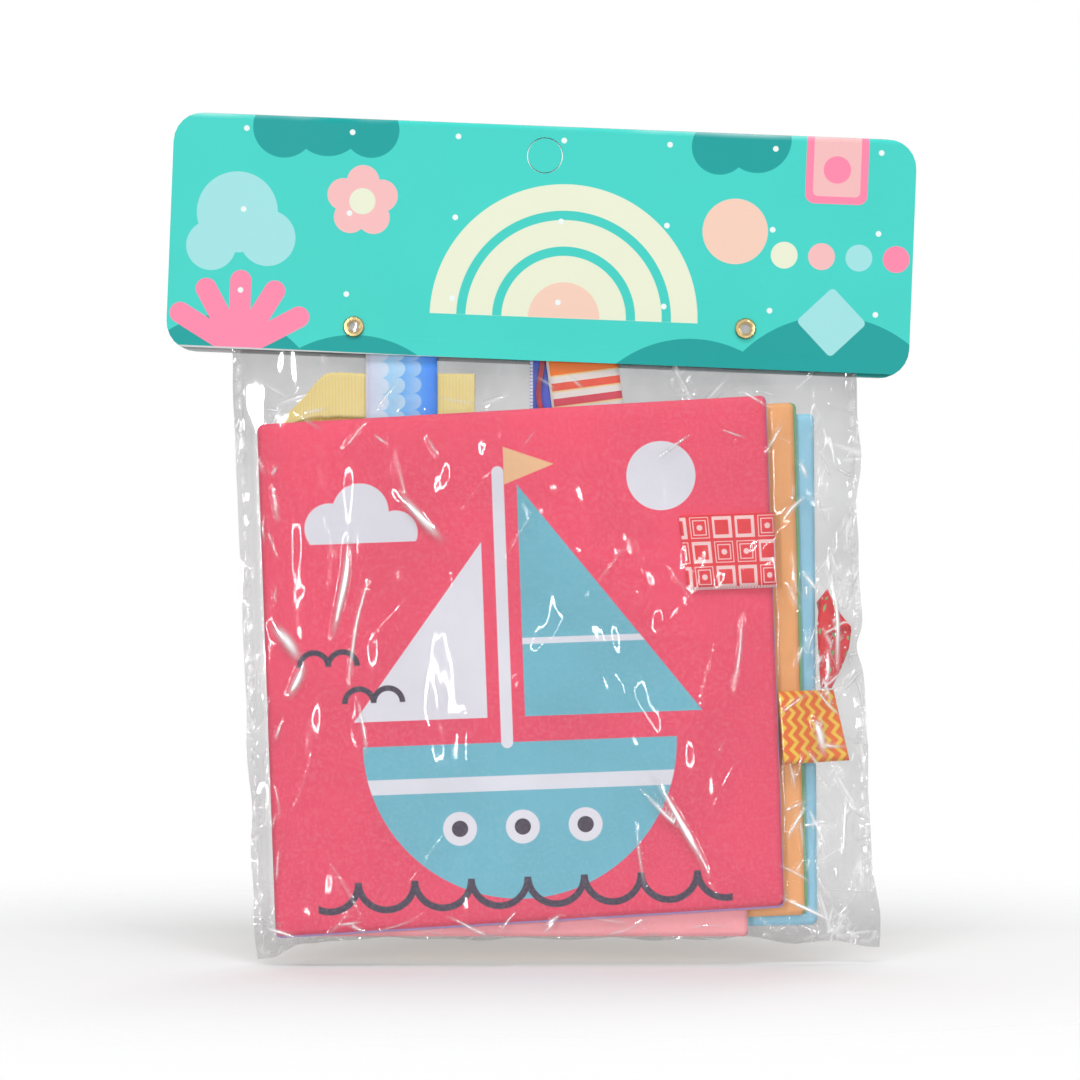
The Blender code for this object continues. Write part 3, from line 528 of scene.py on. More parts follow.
def card_print(art, colours):
    """Header card: a rainbow over hills, with clouds, a flower and other simple shapes."""
    teal, dark, chalk = colours.card, colours.card_dark, srgb(240, 250, 248)
    pale, cream = srgb(163, 227, 228), srgb(235, 240, 214)
    pink, peach, hot = srgb(247, 191, 191), srgb(246, 208, 189), srgb(254, 138, 172)
    grain = art.noise(24.0)
    art.drawn = art.mix(grain, teal, [min(1.0, c * 1.08) for c in teal])
    hills = art.discs(((95, -88), 40), ((50, -95), 38), ((-100, -88), 33), ((-58, -96), 36))
    art.paint(dark, hills)
    art.paint(dark, art.discs(((-84, 6), 10), ((-70, 9), 12), ((-56, 6), 9), ((56, 5), 9), ((68, 8), 11)))
    art.paint(pale, art.discs(((-98, -22), 13), ((-88, -30), 9), ((-106, -33), 8)))
    art.paint(pale, art.box((94, -50), (8, 8), 1.5, math.radians(45.0)))
    art.paint(hot, art.box((94, 1), (10, 13), 3.0))
    art.paint(pink, art.box((94, 1), (7.6, 10.6), 1.6))
    art.paint(hot, art.disc((94, -1), 4.4))
    for radius, colour in ((43, cream), (34.5, teal), (31.5, cream), (23, teal), (20, cream), (11.5, peach)):
        art.paint(colour, art.disc((8, -52), radius), art.above(-52))
    for at in around((-58, -17), 6.4, [math.tau * (n + 0.25) / 5 for n in range(5)]):
        art.paint(pink, art.disc(at, 5.2))
    art.paint(cream, art.disc((-58, -17), 4.2))
    art.paint(peach, art.disc((62, -22), 10.5))
    for end in around((-96, -66), 22, [math.radians(30 + 30 * n) for n in range(5)]):
        art.paint(hot, art.bar((-96, -66), end, 3.4))
    for n, colour in enumerate((cream, pink, pale, hot)):
        art.paint(colour, art.disc((78 + 12 * n, -29), 4.3))
    art.paint(chalk, art.disc((6, 5), 0.9, art.tile(34.0, 26.0)))
    front, art.drawn = art.drawn, teal
    art.paint(dark, hills)
    depth = art.axes(art.object_place)[1]
    made = art.mix(art.ramp(depth, -0.0003, 0.0003), front, art.drawn)
    across, _, down = art.axes(art.place)
    outer = art.ramp(art.maths("ABSOLUTE", depth), 0.0013, 0.0015)
    ends = art.maths("MAXIMUM", art.ramp(down, 8.0, 8.6), art.ramp(down, -65.9, -65.7, 1.0, 0.0))
    made = art.mix(art.maths("MAXIMUM", outer, ends), srgb(226, 229, 228), made)
    cut_edge = art.maths("ADD", down, art.ramp(across, -120.0, 110.0, 65.4, 67.0))
    made = art.mix(art.ramp(cut_edge, -0.08, 0.08, 1.0, 0.0), made, srgb(206, 210, 210))
    rubbed = art.maths("MULTIPLY", art.ramp(down, 7.6, 9.6), art.ramp(grain, 0.4, 0.7))
    art.drawn = art.mix(art.maths("MULTIPLY", rubbed, 0.35), made, chalk)


# Ribbon patterns


def grosgrain():
    """Yellow ribbed ribbon."""
    yellow = settings()[1].grosgrain
    art = ribbon_surface("Yellow grosgrain", yellow, 0.6)
    along = art.axes(art.place)[2]
    ribs = art.maths("SINE", art.maths("MULTIPLY", along, math.tau / 1.05))
    ribs = art.maths("MULTIPLY_ADD", ribs, 0.5, 0.5)
    cloudy = art.noise(60.0, 3.0)
    made = art.mix(art.ramp(ribs, 0.0, 0.7), srgb(244, 218, 132), yellow)
    made = art.mix(art.ramp(cloudy, 0.35, 0.7, 0.0, 0.25), made, srgb(252, 240, 184))
    # Past the folded tip, along the lower layer, the ribbon is painted a darker amber: painted shade on the layer
    # that lies under the upper one.
    art.shade("Base Color", art.mix(art.ramp(along, 66.0, 70.0), made, srgb(232, 184, 84)))
    art.relief((cloudy, 0.0006), (ribs, 0.00010), (art.weave(0.4), 0.00004))
    return art


def scallops():
    """Blue ribbon with rows of scales that darken to the right."""
    art = ribbon_surface("Blue scallop satin", srgb(73, 147, 240), 0.42)
    tones = (srgb(206, 226, 250), srgb(158, 214, 253), srgb(108, 184, 253), srgb(62, 142, 252))
    row = art.tile(800.0, 5.3)
    across = art.axes(art.place)[0]
    art.drawn = art.mix(art.ramp(across, 4.0, 11.0), srgb(86, 166, 254), tones[-1])
    for n in range(len(tones) - 1, 0, -1):
        edge = 5.2 * n - 11.8
        scale = art.join(art.disc((edge, 0.0), 2.62, row), art.left_of(edge))
        tone = art.mix(art.ramp(across, edge - 4.0, edge + 2.6), tones[n - 1], srgb(226, 236, 250))
        art.paint(art.mix(0.35, tones[n - 1], tone), scale, soft=0.1)
    art.drawn = art.mix(art.ramp(across, -11.0, -5.0, 0.55, 0.0), art.drawn, srgb(222, 214, 236))
    art.paint(srgb(238, 236, 244), art.left_of(-10.7))
    return art.satin()


def stripes():
    """White ribbon with three warm stripes, each over a thin yellow line."""
    art = ribbon_surface("Striped satin", srgb(226, 214, 211), 0.5)
    slanted = art.flat_place((0.0110, 0.0, -0.0671), math.radians(-7.5))
    drop = art.maths("MULTIPLY", art.axes(slanted)[2], -1.0)
    white, orange = srgb(238, 228, 224), srgb(255, 122, 24)
    tones = (orange, white, srgb(240, 86, 62), white, srgb(216, 62, 84), white, orange)
    art.drawn = art.bands(drop, tones, 2.5)
    thin = art.box((0.0, 2.3), (400.0, 0.28), 0.02, place=art.tile(800.0, 5.0, slanted))
    art.paint(srgb(244, 200, 90), thin, soft=0.08)
    art.paint(srgb(240, 226, 214), art.left_of(-10.7))
    return art.satin()


def selvedge_satin(name, colour, dark, edge=None):
    """Plain ribbon, with a stitched pale selvedge where an edge is given."""
    art = ribbon_surface(name, colour, 0.4)
    art.drawn = art.mix(art.ramp(art.noise(90.0), 0.35, 0.65), dark, colour)
    if edge is not None:
        stitch = art.ramp(art.maths("PINGPONG", art.axes(art.place)[2], 0.55), 0.12, 0.24)
        art.paint(art.mix(stitch, srgb(150, 160, 226), srgb(240, 240, 248)), art.left_of(edge))
    return art.satin()


def squares():
    """Red ribbon with pale frames and dots in its squares."""
    art = ribbon_surface("Red squares satin", srgb(226, 50, 60), 0.45)
    red, pale = srgb(230, 48, 58), srgb(248, 206, 206)
    wide, tall = 7.9, 7.04
    moved = art.vector("ADD", art.place, (0.0, 0.0, -0.22))
    across, _, along = art.axes(moved)
    cell = art.tile(wide, tall, moved)
    rank = art.maths("FLOOR", art.maths("MULTIPLY_ADD", across, 1 / wide, 0.5))
    file = art.maths("FLOOR", art.maths("MULTIPLY_ADD", along, 1 / tall, 0.5))
    third = art.maths("GREATER_THAN", art.maths("MODULO", file, 3.0), 1.5)
    odd = art.maths("PINGPONG", art.maths("ADD", art.maths("ADD", rank, 1.0), third), 1.0)

    def nest(*boxes):
        """Boxes one in another, by turns pale and red."""
        art.drawn = red
        for n, (rise, half, corner) in enumerate(boxes):
            art.paint((pale, red)[n % 2], art.box((0, rise), half, corner, place=cell), soft=0.09)

    nest((0.0, (3.45, 3.0), 0.15), (-0.15, (2.35, 2.15), 0.1))
    framed = art.drawn
    nest(*((0.0, half, 0.1) for half in ((3.4, 2.95), (3.15, 2.7), (2.45, 2.1), (2.15, 1.8))))
    art.paint(pale, art.disc((0, 0), 0.9, cell), soft=0.1)
    made = art.mix(art.ramp(odd, 0.4, 0.6), framed, art.drawn)
    stitch = art.ramp(art.maths("PINGPONG", along, 0.5), 0.15, 0.3)
    hem = art.mix(stitch, srgb(240, 150, 156), srgb(250, 218, 218))
    art.drawn = art.mix(art.ramp(across, -11.1, -11.0, 1.0, 0.0), made, hem)
    return art.satin()


def chevrons():
    """Orange ribbon with yellow zigzags across it."""
    art = ribbon_surface("Orange chevron satin", srgb(234, 116, 42), 0.45)
    across, _, along = art.axes(art.place)
    zigzag = art.maths("MULTIPLY_ADD", art.maths("PINGPONG", across, 2.35), 0.9, -1.05)
    line = art.maths("WRAP", art.maths("ADD", along, zigzag), 1.85, -1.85)
    art.drawn = srgb(236, 112, 40)
    art.paint(srgb(246, 200, 70), art.grow(art.maths("ABSOLUTE", line), 0.76), soft=0.08)
    return art.satin()


def leafy():
    """Red ribbon with small green leaves, a pale selvedge, and a green band on its folded end."""
    art = ribbon_surface("Red leaf satin", srgb(232, 46, 56), 0.42)
    green, pale = srgb(122, 192, 116), srgb(248, 226, 226)
    cell = art.tile(4.6, 5.8)
    art.drawn = srgb(232, 44, 54)
    art.paint(green, art.disc((-0.95, 0.4), 1.35, cell), art.disc((0.95, 0.4), 1.35, cell), soft=0.08)
    art.paint(pale, art.disc((0.9, -1.5), 0.34, cell), soft=0.08)
    band = art.grow(art.maths("ABSOLUTE", art.side((-3.4, 0.0), (1.0, -0.55))), 0.95)
    early = art.below(9.5)
    art.paint(green, band, early, soft=0.1)
    art.paint(pale, art.box((-5.1, 5.0), (0.36, 30.0), 0.1), early, soft=0.1)
    return art.satin()


# Shapes


def smooth_step(share):
    """Smooth step from 0 to 1."""
    share = min(1.0, max(0.0, share))
    return share * share * (3 - 2 * share)


def mix(first, second, share):
    """Straight mix of two values."""
    return first + (second - first) * share


def new_object(name, shape, surface, towards=None):
    """An object from a bmesh, smooth, with its finish, its faces turned the way asked."""
    mesh = bpy.data.meshes.new(name)
    shape.to_mesh(mesh)
    shape.free()
    mesh.shade_smooth()
    mesh.materials.append(surface.material)
    if towards and sum(face.normal.dot(towards) * face.area for face in mesh.polygons) < 0:
        mesh.flip_normals()
    made = bpy.data.objects.new(name, mesh)
    bpy.context.scene.collection.objects.link(made)
    return made


def seat(piece, body, node):
    """Put a piece on its body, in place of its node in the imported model."""
    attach(piece, body)
    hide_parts(node)


def thicken(piece, thickness, offset=0.0):
    """Give a sheet its thickness."""
    made = piece.modifiers.new("Thickness", "SOLIDIFY")
    made.thickness = thickness
    made.offset = offset
    made.use_even_offset = False


def grid(columns, rows, attribute=None):
    """A grid as a bmesh, and its points with their shares across and down."""
    shape = bmesh.new()
    if attribute:
        shape.verts.layers.float_vector.new(attribute)
    bmesh.ops.create_grid(shape, x_segments=columns, y_segments=rows, size=0.5)
    return shape, [(vert, vert.co.x + 0.5, 0.5 - vert.co.y) for vert in shape.verts]


# Leaves


def leaf_body(name):
    """Body that a leaf turns with."""
    return "pack" if name == "back_leaf" else name


def leaf_y(name):
    """Depth of a leaf's middle plane."""
    return BACK_LEAF_Y - (len(LEAF_NAMES) - 1 - LEAF_NAMES.index(name)) * LEAF_PITCH


def leaf_point(name, across, down):
    """World point on a leaf's middle plane from two shares."""
    corners = [Vector((x * LEAF_WIDTH, 0.0, -z * LEAF_HEIGHT)) for x, z in LEAF_CORNERS[name]]
    top = corners[0].lerp(corners[1], across)
    bottom = corners[3].lerp(corners[2], across)
    stagger = Vector((LEAF_STAGGER * LEAF_NAMES.index(name), leaf_y(name), 0.0))
    return BOOK_FRAME @ (top.lerp(bottom, down) + stagger)


def round_corner(across, down):
    """Pull a point of a leaf's square into the same square with round corners."""
    radius_across, radius_down = LEAF_CORNER / LEAF_WIDTH, LEAF_CORNER / LEAF_HEIGHT
    x, z = across - 0.5, down - 0.5
    over_x = abs(x) - (0.5 - radius_across)
    over_z = abs(z) - (0.5 - radius_down)
    if over_x <= 0 or over_z <= 0:
        return across, down
    share_x, share_z = over_x / radius_across, over_z / radius_down
    scale = max(share_x, share_z) / math.hypot(share_x, share_z)
    x = math.copysign(0.5 - radius_across + over_x * scale, x)
    z = math.copysign(0.5 - radius_down + over_z * scale, z)
    return x + 0.5, z + 0.5


def leaf_swell(across, down):
    """Swell of a padded leaf from its sewn edge in, as a share."""
    edge = min(across, 1 - across, down, 1 - down)
    return 1 - math.exp(-max(edge, 0.0) / 0.026)


def leaf_layer(name, cells, depth, inset):
    """A sheet of a leaf. depth gives the height off the middle plane at two shares."""
    shape, points = grid(cells, cells)
    left, right, top, bottom = inset
    for vert, across, down in points:
        across, down = round_corner(across, down)
        vert.co = leaf_point(name, mix(left, 1 - right, across), mix(top, 1 - bottom, down))
        vert.co.y += depth(across, down)
    return shape


def cloth_depth(name, facing, sizes):
    """Height of a leaf's outer cloth off its middle plane, with its gathers and wrinkles."""
    phase = 7.3 * LEAF_NAMES.index(name) + 3.1 * facing
    edge_height, full_height = 0.0005, LEAF_HALF - 0.00004

    def unevenness(x, y, z, fine_x, shift, fine_z):
        """Broad noise with a finer one on it."""
        fine = noise.noise(Vector((x * fine_x, phase + shift, z * fine_z)))
        return noise.noise(Vector((x, phase, z))) + y * fine

    def depth(across, down):
        swell = leaf_swell(across, down)
        edge = min(across, 1 - across, down, 1 - down)
        along = across if min(down, 1 - down) < min(across, 1 - across) else down
        gather = math.exp(-edge / 0.035) * (1 - math.exp(-edge / 0.006))
        folds = unevenness(along * 26, 0.6, edge * 6, 61 / 26, 9, 1.5)
        height = mix(edge_height, full_height, swell) + sizes.pucker * 2.2 * gather * folds
        broad = unevenness(across * 2.3, 0.5, down * 2.1, 5.2 / 2.3, 4, 4.6 / 2.1)
        if name == "front_leaf" and facing < 0:
            under_tag = smooth_step((across - 0.76) / 0.06) * smooth_step((0.46 - down) / 0.06)
            height += sizes.swell * swell * (1.0 - 0.75 * under_tag) * max(0.0, 0.55 + broad)
        else:
            height += 0.00012 * swell * broad
        return facing * height

    return depth


def leaf_cloth(name, side, facing, surface, sizes):
    """One printed cloth of a leaf."""
    inset = FRONT_INSETS.get(name, NO_INSET) if facing < 0 else NO_INSET
    shape = leaf_layer(name, sizes.leaf_cells, cloth_depth(name, facing, sizes), inset)
    made = new_object(f"{name}_{side}_print", shape, surface, Vector((0.0, facing, 0.0)))
    thicken(made, sizes.cloth * 0.8, -1.0)
    seat(made, leaf_body(name), f"{name}_{side}")


def leaf_filling(name, side, low, high, surface):
    """Crinkle film or wadding between the two cloths of a leaf."""
    share = 1 - 2 * FILLING_INSET

    def depth(across, down):
        return (low + high) / 2 * leaf_swell(across * share + FILLING_INSET, down * share + FILLING_INSET)

    shape = leaf_layer(name, 28, depth, (FILLING_INSET,) * 4)
    made = new_object(f"{name}_{side}_fill", shape, surface, Vector((0.0, -1.0, 0.0)))
    thicken(made, high - low)
    seat(made, leaf_body(name), f"{name}_{side}")


# Ribbons


def headings(points):
    """Direction of a path at each of its points."""
    last = len(points) - 1
    return [(points[min(n + 1, last)] - points[max(n - 1, 0)]).normalized() for n in range(last + 1)]


def smooth_path(points, steps):
    """Points along a smooth curve through the given ones."""
    ways = headings(points)
    found = []
    for n, (start, end) in enumerate(zip(points, points[1:])):
        reach = (end - start).length
        for t in (step / steps for step in range(steps)):
            leave = ways[n] * reach * (t**3 - 2 * t**2 + t)
            arrive = ways[n + 1] * reach * (t**3 - t**2)
            found.append(start * (2 * t**3 - 3 * t**2 + 1) + end * (3 * t**2 - 2 * t**3) + leave + arrive)
    return found + [points[-1].copy()]


def even_path(values, steps):
    """Values that go along with a smooth path, straight from one to the next."""
    found = []
    for start, end in zip(values, values[1:]):
        found += [start + (end - start) * (step / steps) for step in range(steps)]
    return found + [values[-1]]


def ribbon(node, finish, route, surface, slot, body="pack", steps=4, cells=8, cup=0.0, held="folded"):
    """A length of ribbon along a route of (place, across direction, width), shaped from a grid."""
    places = smooth_path([stop[0] for stop in route], steps)
    acrosses = [across.normalized() for across in even_path([stop[1].normalized() for stop in route], steps)]
    widths = even_path([stop[2] for stop in route], steps)
    ways = headings(places)
    runs = [0.0]
    for first, second in zip(places, places[1:]):
        runs.append(runs[-1] + (second - first).length)
    shape, points = grid(len(places) - 1, cells)
    layer = shape.loops.layers.uv.new("Ribbon")
    where = {}
    for vert, along, down in points:
        n, side = round(along * (len(places) - 1)), 0.5 - down
        lift = ways[n].cross(acrosses[n]).normalized() * cup * (4 * side * side - 1)
        where[vert] = (side * widths[n], runs[n])
        vert.co = places[n] + acrosses[n] * side * widths[n] + lift
    for face in shape.faces:
        for loop in face.loops:
            loop[layer].uv = where[loop.vert]
    made = new_object(f"{node}_{finish}", shape, surface)
    thicken(made, settings()[0].ribbon * 0.9)
    seat(made, body, node)
    return made


def loop_route(path, across, widths):
    """Out along one side of a path, round its tip and back along the other side."""
    ways = headings(path)
    normals = [way.cross(side).normalized() for way, side in zip(ways, across)]
    out = [(p + n * LAYER, a, w) for p, n, a, w in zip(path, normals, across, widths)]
    back = [(p - n * LAYER, a, w) for p, n, a, w in zip(path, normals, across, widths)]
    tip = []
    for turn in (math.radians(45), math.radians(90), math.radians(135)):
        reach = normals[-1] * math.cos(turn) + ways[-1] * math.sin(turn)
        tip.append((path[-1] + reach * LAYER, across[-1], widths[-1]))
    return out + tip + back[::-1]


def card_line_z(x, down):
    """Height of a line across the card, at a world x."""
    return -down / math.cos(CARD_TURN) - x * math.tan(CARD_TURN)


def back_leaf_top(x):
    """Height of the back leaf's top edge at a world x."""
    left, right = leaf_point("back_leaf", 0.0, 0.0), leaf_point("back_leaf", 1.0, 0.0)
    return mix(left.z, right.z, (x - left.x) / (right.x - left.x))


def upright_path(root_x, tip_x, root_y, forward_y, tip_y, bend_z=None):
    """Path of a ribbon from the back leaf's top edge up into the card, bent halfway or where asked."""
    card_foot = card_line_z(tip_x, CARD_SEEN_DOWN)
    if bend_z is None:
        bend_z = (back_leaf_top(root_x) + card_foot) / 2
    root = Vector((root_x, root_y, back_leaf_top(root_x) + LAYER))
    tip = Vector((tip_x, tip_y, card_line_z(tip_x, CARD_HOLD_DOWN) - LAYER))
    path = [root]
    for z, y in ((mix(root.z, bend_z, 0.25), forward_y), (bend_z, forward_y), (card_foot, tip_y)):
        path.append(Vector((mix(root_x, tip_x, (z - root.z) / (tip.z - root.z)), y, z)))
    return path + [tip]


def edge_hinge(name, down, out=0.0, forward=0.0):
    """Fold line of a ribbon on a leaf's free edge."""
    return leaf_point(name, 1.0, down) + BOOK_DIRECTIONS @ Vector((out, -forward, 0.0))


def book_route(origin, stops):
    """Route from stops in the book's own directions."""
    return [(origin + BOOK_DIRECTIONS @ place, BOOK_DIRECTIONS @ across, width) for place, across, width in stops]


def leaning(degrees):
    """Direction across a ribbon that leans by an angle from upright."""
    turn = math.radians(degrees)
    return Vector((-math.sin(turn), 0.0, math.cos(turn)))


# Film


def bag_edge(z, right):
    """Left or right edge of the bag at a height. The right one is notched."""
    top, bottom = (0.0977, 0.1080) if right else (-0.1029, -0.0928)
    edge = mix(top, bottom, (z - BAG_MOUTH_Z) / (BAG_FOOT_Z - BAG_MOUTH_Z))
    if right:
        edge -= 0.0016 * smooth_step((-0.095 - z) / 0.02) * smooth_step((z + 0.250) / 0.02)
        edge -= 0.0022 * math.exp(-(((z + 0.1605) / 0.0055) ** 2))
    return edge


def bag_foot(x):
    """Foot of the bag at a place across it: drawn up under the book, low at its corners."""
    for (start, first), (end, second) in zip(BAG_FOOT, BAG_FOOT[1:]):
        if x <= end:
            return mix(first, second, smooth_step((x - start) / (end - start)))
    return BAG_FOOT[-1][1]


def cover_edge(across, z):
    """The cover's spine edge or free edge, carried on, at a height."""
    top, bottom = leaf_point("front_leaf", across, 0.0), leaf_point("front_leaf", across, 1.0)
    return mix(top.x, bottom.x, (z - top.z) / (bottom.z - top.z))


def quarter_wave(share):
    """Quick rise that levels off, from 0 to 1."""
    return math.sin(math.pi / 2 * min(1.0, max(0.0, share)))


def film_share(x, z):
    """How far the front film stands off its seals, from 0 to 1."""
    seal, clearance = 0.0025, 0.0008
    left, right = bag_edge(z, False) + seal, bag_edge(z, True) - seal
    start, end = cover_edge(0.0, z) - clearance, cover_edge(1.0, z) + clearance
    share = 1.0
    if x < start:
        share = quarter_wave((x - left) / (start - left))
    elif x > end:
        share = max(0.0, (right - x) / (right - end)) ** 0.37
    card_foot = card_line_z(x, CARD_FOOT_DOWN)
    shoulder = leaf_point("front_leaf", 0.0, 0.0).z + clearance + (x - SPINE_TOP.x) * 0.0572
    if z >= card_foot:
        return share * 0.05
    if z > shoulder:
        return share * mix(0.11, 1.0, quarter_wave((card_foot - z) / (card_foot - shoulder)))
    return share * quarter_wave((z - bag_foot(x) - 0.0004) / 0.0030)


def front_lay(x, z):
    """Share and depth of the front film."""
    share = film_share(x, z)
    return share, mix(FRONT_SEAL_Y, FRONT_FILM_Y, share)


def back_lay(x, z):
    """Share and depth of the back film, which hangs flat."""
    return 0.4, BACK_FILM_Y


# Folds of the film at random: count, then ranges across, down, of turn, half length, width, strength
FOLD_REGIONS = (
    (60, (0.078, 0.106), (-0.254, -0.085), (50, 130), (0.003, 0.010), (0.0004, 0.0009), (0.4, 1.0)),
    (22, (0.078, 0.104), (-0.254, -0.085), (-60, 60), (0.003, 0.009), (0.0004, 0.0009), (0.4, 1.0)),
    (34, (-0.100, -0.084), (-0.250, -0.080), (60, 120), (0.002, 0.008), (0.0004, 0.0008), (0.3, 0.9)),
    (30, (-0.092, 0.100), (-0.254, -0.244), (-50, 50), (0.003, 0.010), (0.0004, 0.0009), (0.3, 0.9)),
    (20, (-0.095, 0.095), (-0.094, -0.072), (-60, 60), (0.003, 0.010), (0.0004, 0.0009), (0.3, 0.9)),
    (18, (-0.080, 0.066), (-0.240, -0.092), (45, 135), (0.003, 0.016), (0.0003, 0.0007), (0.1, 0.45)),
    (9, (-0.050, 0.070), (-0.230, -0.100), (-90, 90), (0.030, 0.060), (0.0035, 0.0060), (0.5, 0.9)),
)
# The long folds of the front film, in millimetres: place, turn, half length, width, strength, bend
LONG_FOLDS = (
    (-64.0, -139.0, 79.0, 19.0, 1.2, 1.0, 0.9),
    (-60.0, -153.0, 80.0, 22.0, 0.8, 0.8, -1.2),
    (-40.0, -116.0, 132.0, 13.0, 1.5, 1.0, -1.0),
    (-82.0, -156.0, 128.0, 9.0, 1.9, 1.0, 0.8),
    (-79.0, -168.0, 64.0, 8.0, 1.5, 0.9, 0.5),
    (-58.0, -184.0, 97.0, 12.0, 0.7, 0.7, 0.8),
    (44.0, -214.0, 118.0, 22.0, 1.2, 1.0, 1.6),
    (39.0, -211.0, 138.0, 15.0, 0.9, 0.9, -1.4),
    (30.0, -224.0, 96.0, 14.0, 0.7, 0.6, -0.8),
    (62.0, -160.0, 84.0, 16.0, 0.8, 0.6, 0.7),
    (93.5, -150.0, 92.0, 22.0, 0.9, 1.0, 0.9),
    (84.0, -241.0, 152.0, 12.0, 0.8, 1.0, 0.5),
    (88.0, -186.0, 104.0, 8.0, 1.5, 1.0, 0.6),
    (96.0, -214.0, 84.0, 16.0, 0.8, 0.9, -0.6),
)
BROAD_FOLD = 0.003


def creases(seed, long_folds=()):
    """Folds of a film: middle, direction, half length, width, strength and bend."""
    pick = random.Random(seed)
    found = []

    def direction(degrees):
        return Vector((math.cos(math.radians(degrees)), 0.0, math.sin(math.radians(degrees))))

    for count, across, down, turns, *ranges in FOLD_REGIONS:
        for _ in range(count):
            middle = Vector((pick.uniform(*across), 0.0, pick.uniform(*down)))
            run = direction(pick.uniform(*turns))
            half, width, strength = (pick.uniform(*limits) for limits in ranges)
            found.append((middle, run, half, width, strength, pick.uniform(-0.12, 0.12) * half))
    for x, z, degrees, half, width, strength, bend in long_folds:
        middle = Vector((x, 0.0, z)) * MM
        found.append((middle, direction(degrees), half * MM, width * MM, strength, bend * MM))
    return found


def fold_marks(place, folds):
    """Height of the broad folds at a place, and strength of and place across the nearest sharp one."""
    height, sharp, beside = 0.0, 0.0, 0.0
    for middle, run, half, width, strength, bend in folds:
        away = place - middle
        along = away.dot(run) / half
        off = away.x * run.z - away.z * run.x + bend * along * along
        if abs(along) >= 1.0 or abs(off) > 4 * width:
            continue
        window = (1.0 - along * along) ** 1.5
        if width >= BROAD_FOLD:
            height += strength * window / math.cosh(off / width * 1.8)
            continue
        found = strength * window * (1.0 - (off / (4 * width)) ** 2) ** 2
        if found > sharp:
            sharp, beside = found, off / width
    return height, sharp, beside


def film_sheet(columns, rows, top, lay, folds, reach):
    """A film on a grid. lay gives its depth, reach the height of its folds and the way they go.

    The Crease attribute holds the place across the nearest sharp fold, that fold's strength and
    the marks of the heat seal, which the film's material turns into fine relief and into whiter,
    less clear lines that are partly painted glints.
    """
    shape, points = grid(columns, rows, "Crease")
    crease = shape.verts.layers.float_vector["Crease"]
    for vert, across, down in points:
        x = mix(-0.1, 0.1, across)
        z = mix(card_line_z(x, top), BAG_FOOT_Z, down)
        ragged = 0.0012 * noise.noise(Vector((across * 3, 2.0, z * 55)))
        x = mix(bag_edge(z, False), bag_edge(z, True), across) + ragged * abs(2 * across - 1) ** 3
        hem = 0.0013 * noise.noise(Vector((x * 70, 5.0, 1.0)))
        z = mix(card_line_z(x, top), bag_foot(x) + hem, down)
        place = Vector((x, 0.0, z))
        height, sharp, beside = fold_marks(place + noise.noise_vector(place * 60) * 0.0012, folds)
        broad = noise.noise(Vector((x * 34, 8.1, z * 27))) + 0.5 * noise.noise(Vector((x * 80, 1.1, z * 66)))
        height += 0.5 * max(0.0, broad + 0.3)
        share, base = lay(x, z)
        rim = min(x - bag_edge(z, False), bag_edge(z, True) - x, z - bag_foot(x))
        dashed = 1.0 if math.sin(math.tau * (x + z) / 0.0058) > -0.2 else 0.1
        mark = max(0.0, 1.0 - abs(rim - 0.0019) / 0.0009) * dashed
        place.y = base + reach * height * (0.3 + 0.7 * min(1.0, share * 2.5))
        vert.co = place
        vert[crease] = (beside, sharp, mark)
    return shape


def film_surface(name, tint, gloss, clear, fold_glint_cover, resting, high):
    """Clear film: greyer where it hangs free of the book, and whiter and less clear along its folds
    and heat-seal marks, partly as the whitening of creased film and partly as painted glints.

    clear is its cover, fold_glint_cover that of its folds, where it paints the glints, and resting
    and high multiply the first one where the film rests on the book and where it comes out of the
    card. On the back film high makes a greyer band under the card, a painted shadow of the card.
    """
    art = Surface(name, tint, 0.06)
    beside, strength, mark = art.axes(art.node("Attribute", attribute_name="Crease").outputs["Vector"])
    bell = art.maths("EXPONENT", art.maths("MULTIPLY", art.maths("POWER", beside, 2.0), -1.0))
    fold = art.maths("MULTIPLY", bell, strength)
    total = art.ramp(art.noise(30.0, 3.0), 0.3, 0.7, clear * 0.85, clear * 1.15)
    # Below the card the cover is multiplied by high: on the back film this greyer band is a painted shadow of the
    # card.
    below_card = art.ramp(art.axes(art.object_place)[2], -0.100, -0.072, 1.0, high)
    art.place = art.flat_place(SPINE_TOP, BOOK_TURN)
    beyond_book = art.ramp(art.box((84.5, -82.5), (85.5, 82.0), 4.0), -3.0, 2.0, resting, 1.0)
    total = art.maths("MULTIPLY", art.maths("MULTIPLY", total, below_card), beyond_book)
    # Folds and seal marks get more cover and a whiter colour: partly the whitening of creased film, partly
    # painted glints.
    total = art.maths("MULTIPLY_ADD", art.maths("POWER", fold, 1.4), fold_glint_cover, total)
    art.shade("Alpha", art.maths("MULTIPLY_ADD", mark, 0.16, total, clamp=True))
    crease_white_and_glint = art.maths("MAXIMUM", fold, art.maths("MULTIPLY", mark, 0.6))
    art.shade("Base Color", art.mix(crease_white_and_glint, tint, (0.95, 0.95, 0.97)))
    art.shade("IOR", gloss)
    art.shade("Specular IOR Level", 1.0)
    slack = art.noise(120.0, 0.5, stretch=(1.0, 1.0, 0.4))
    art.relief((slack, 0.0012), (mark, 0.0003), (fold, 0.0007))
    return art


# Operators


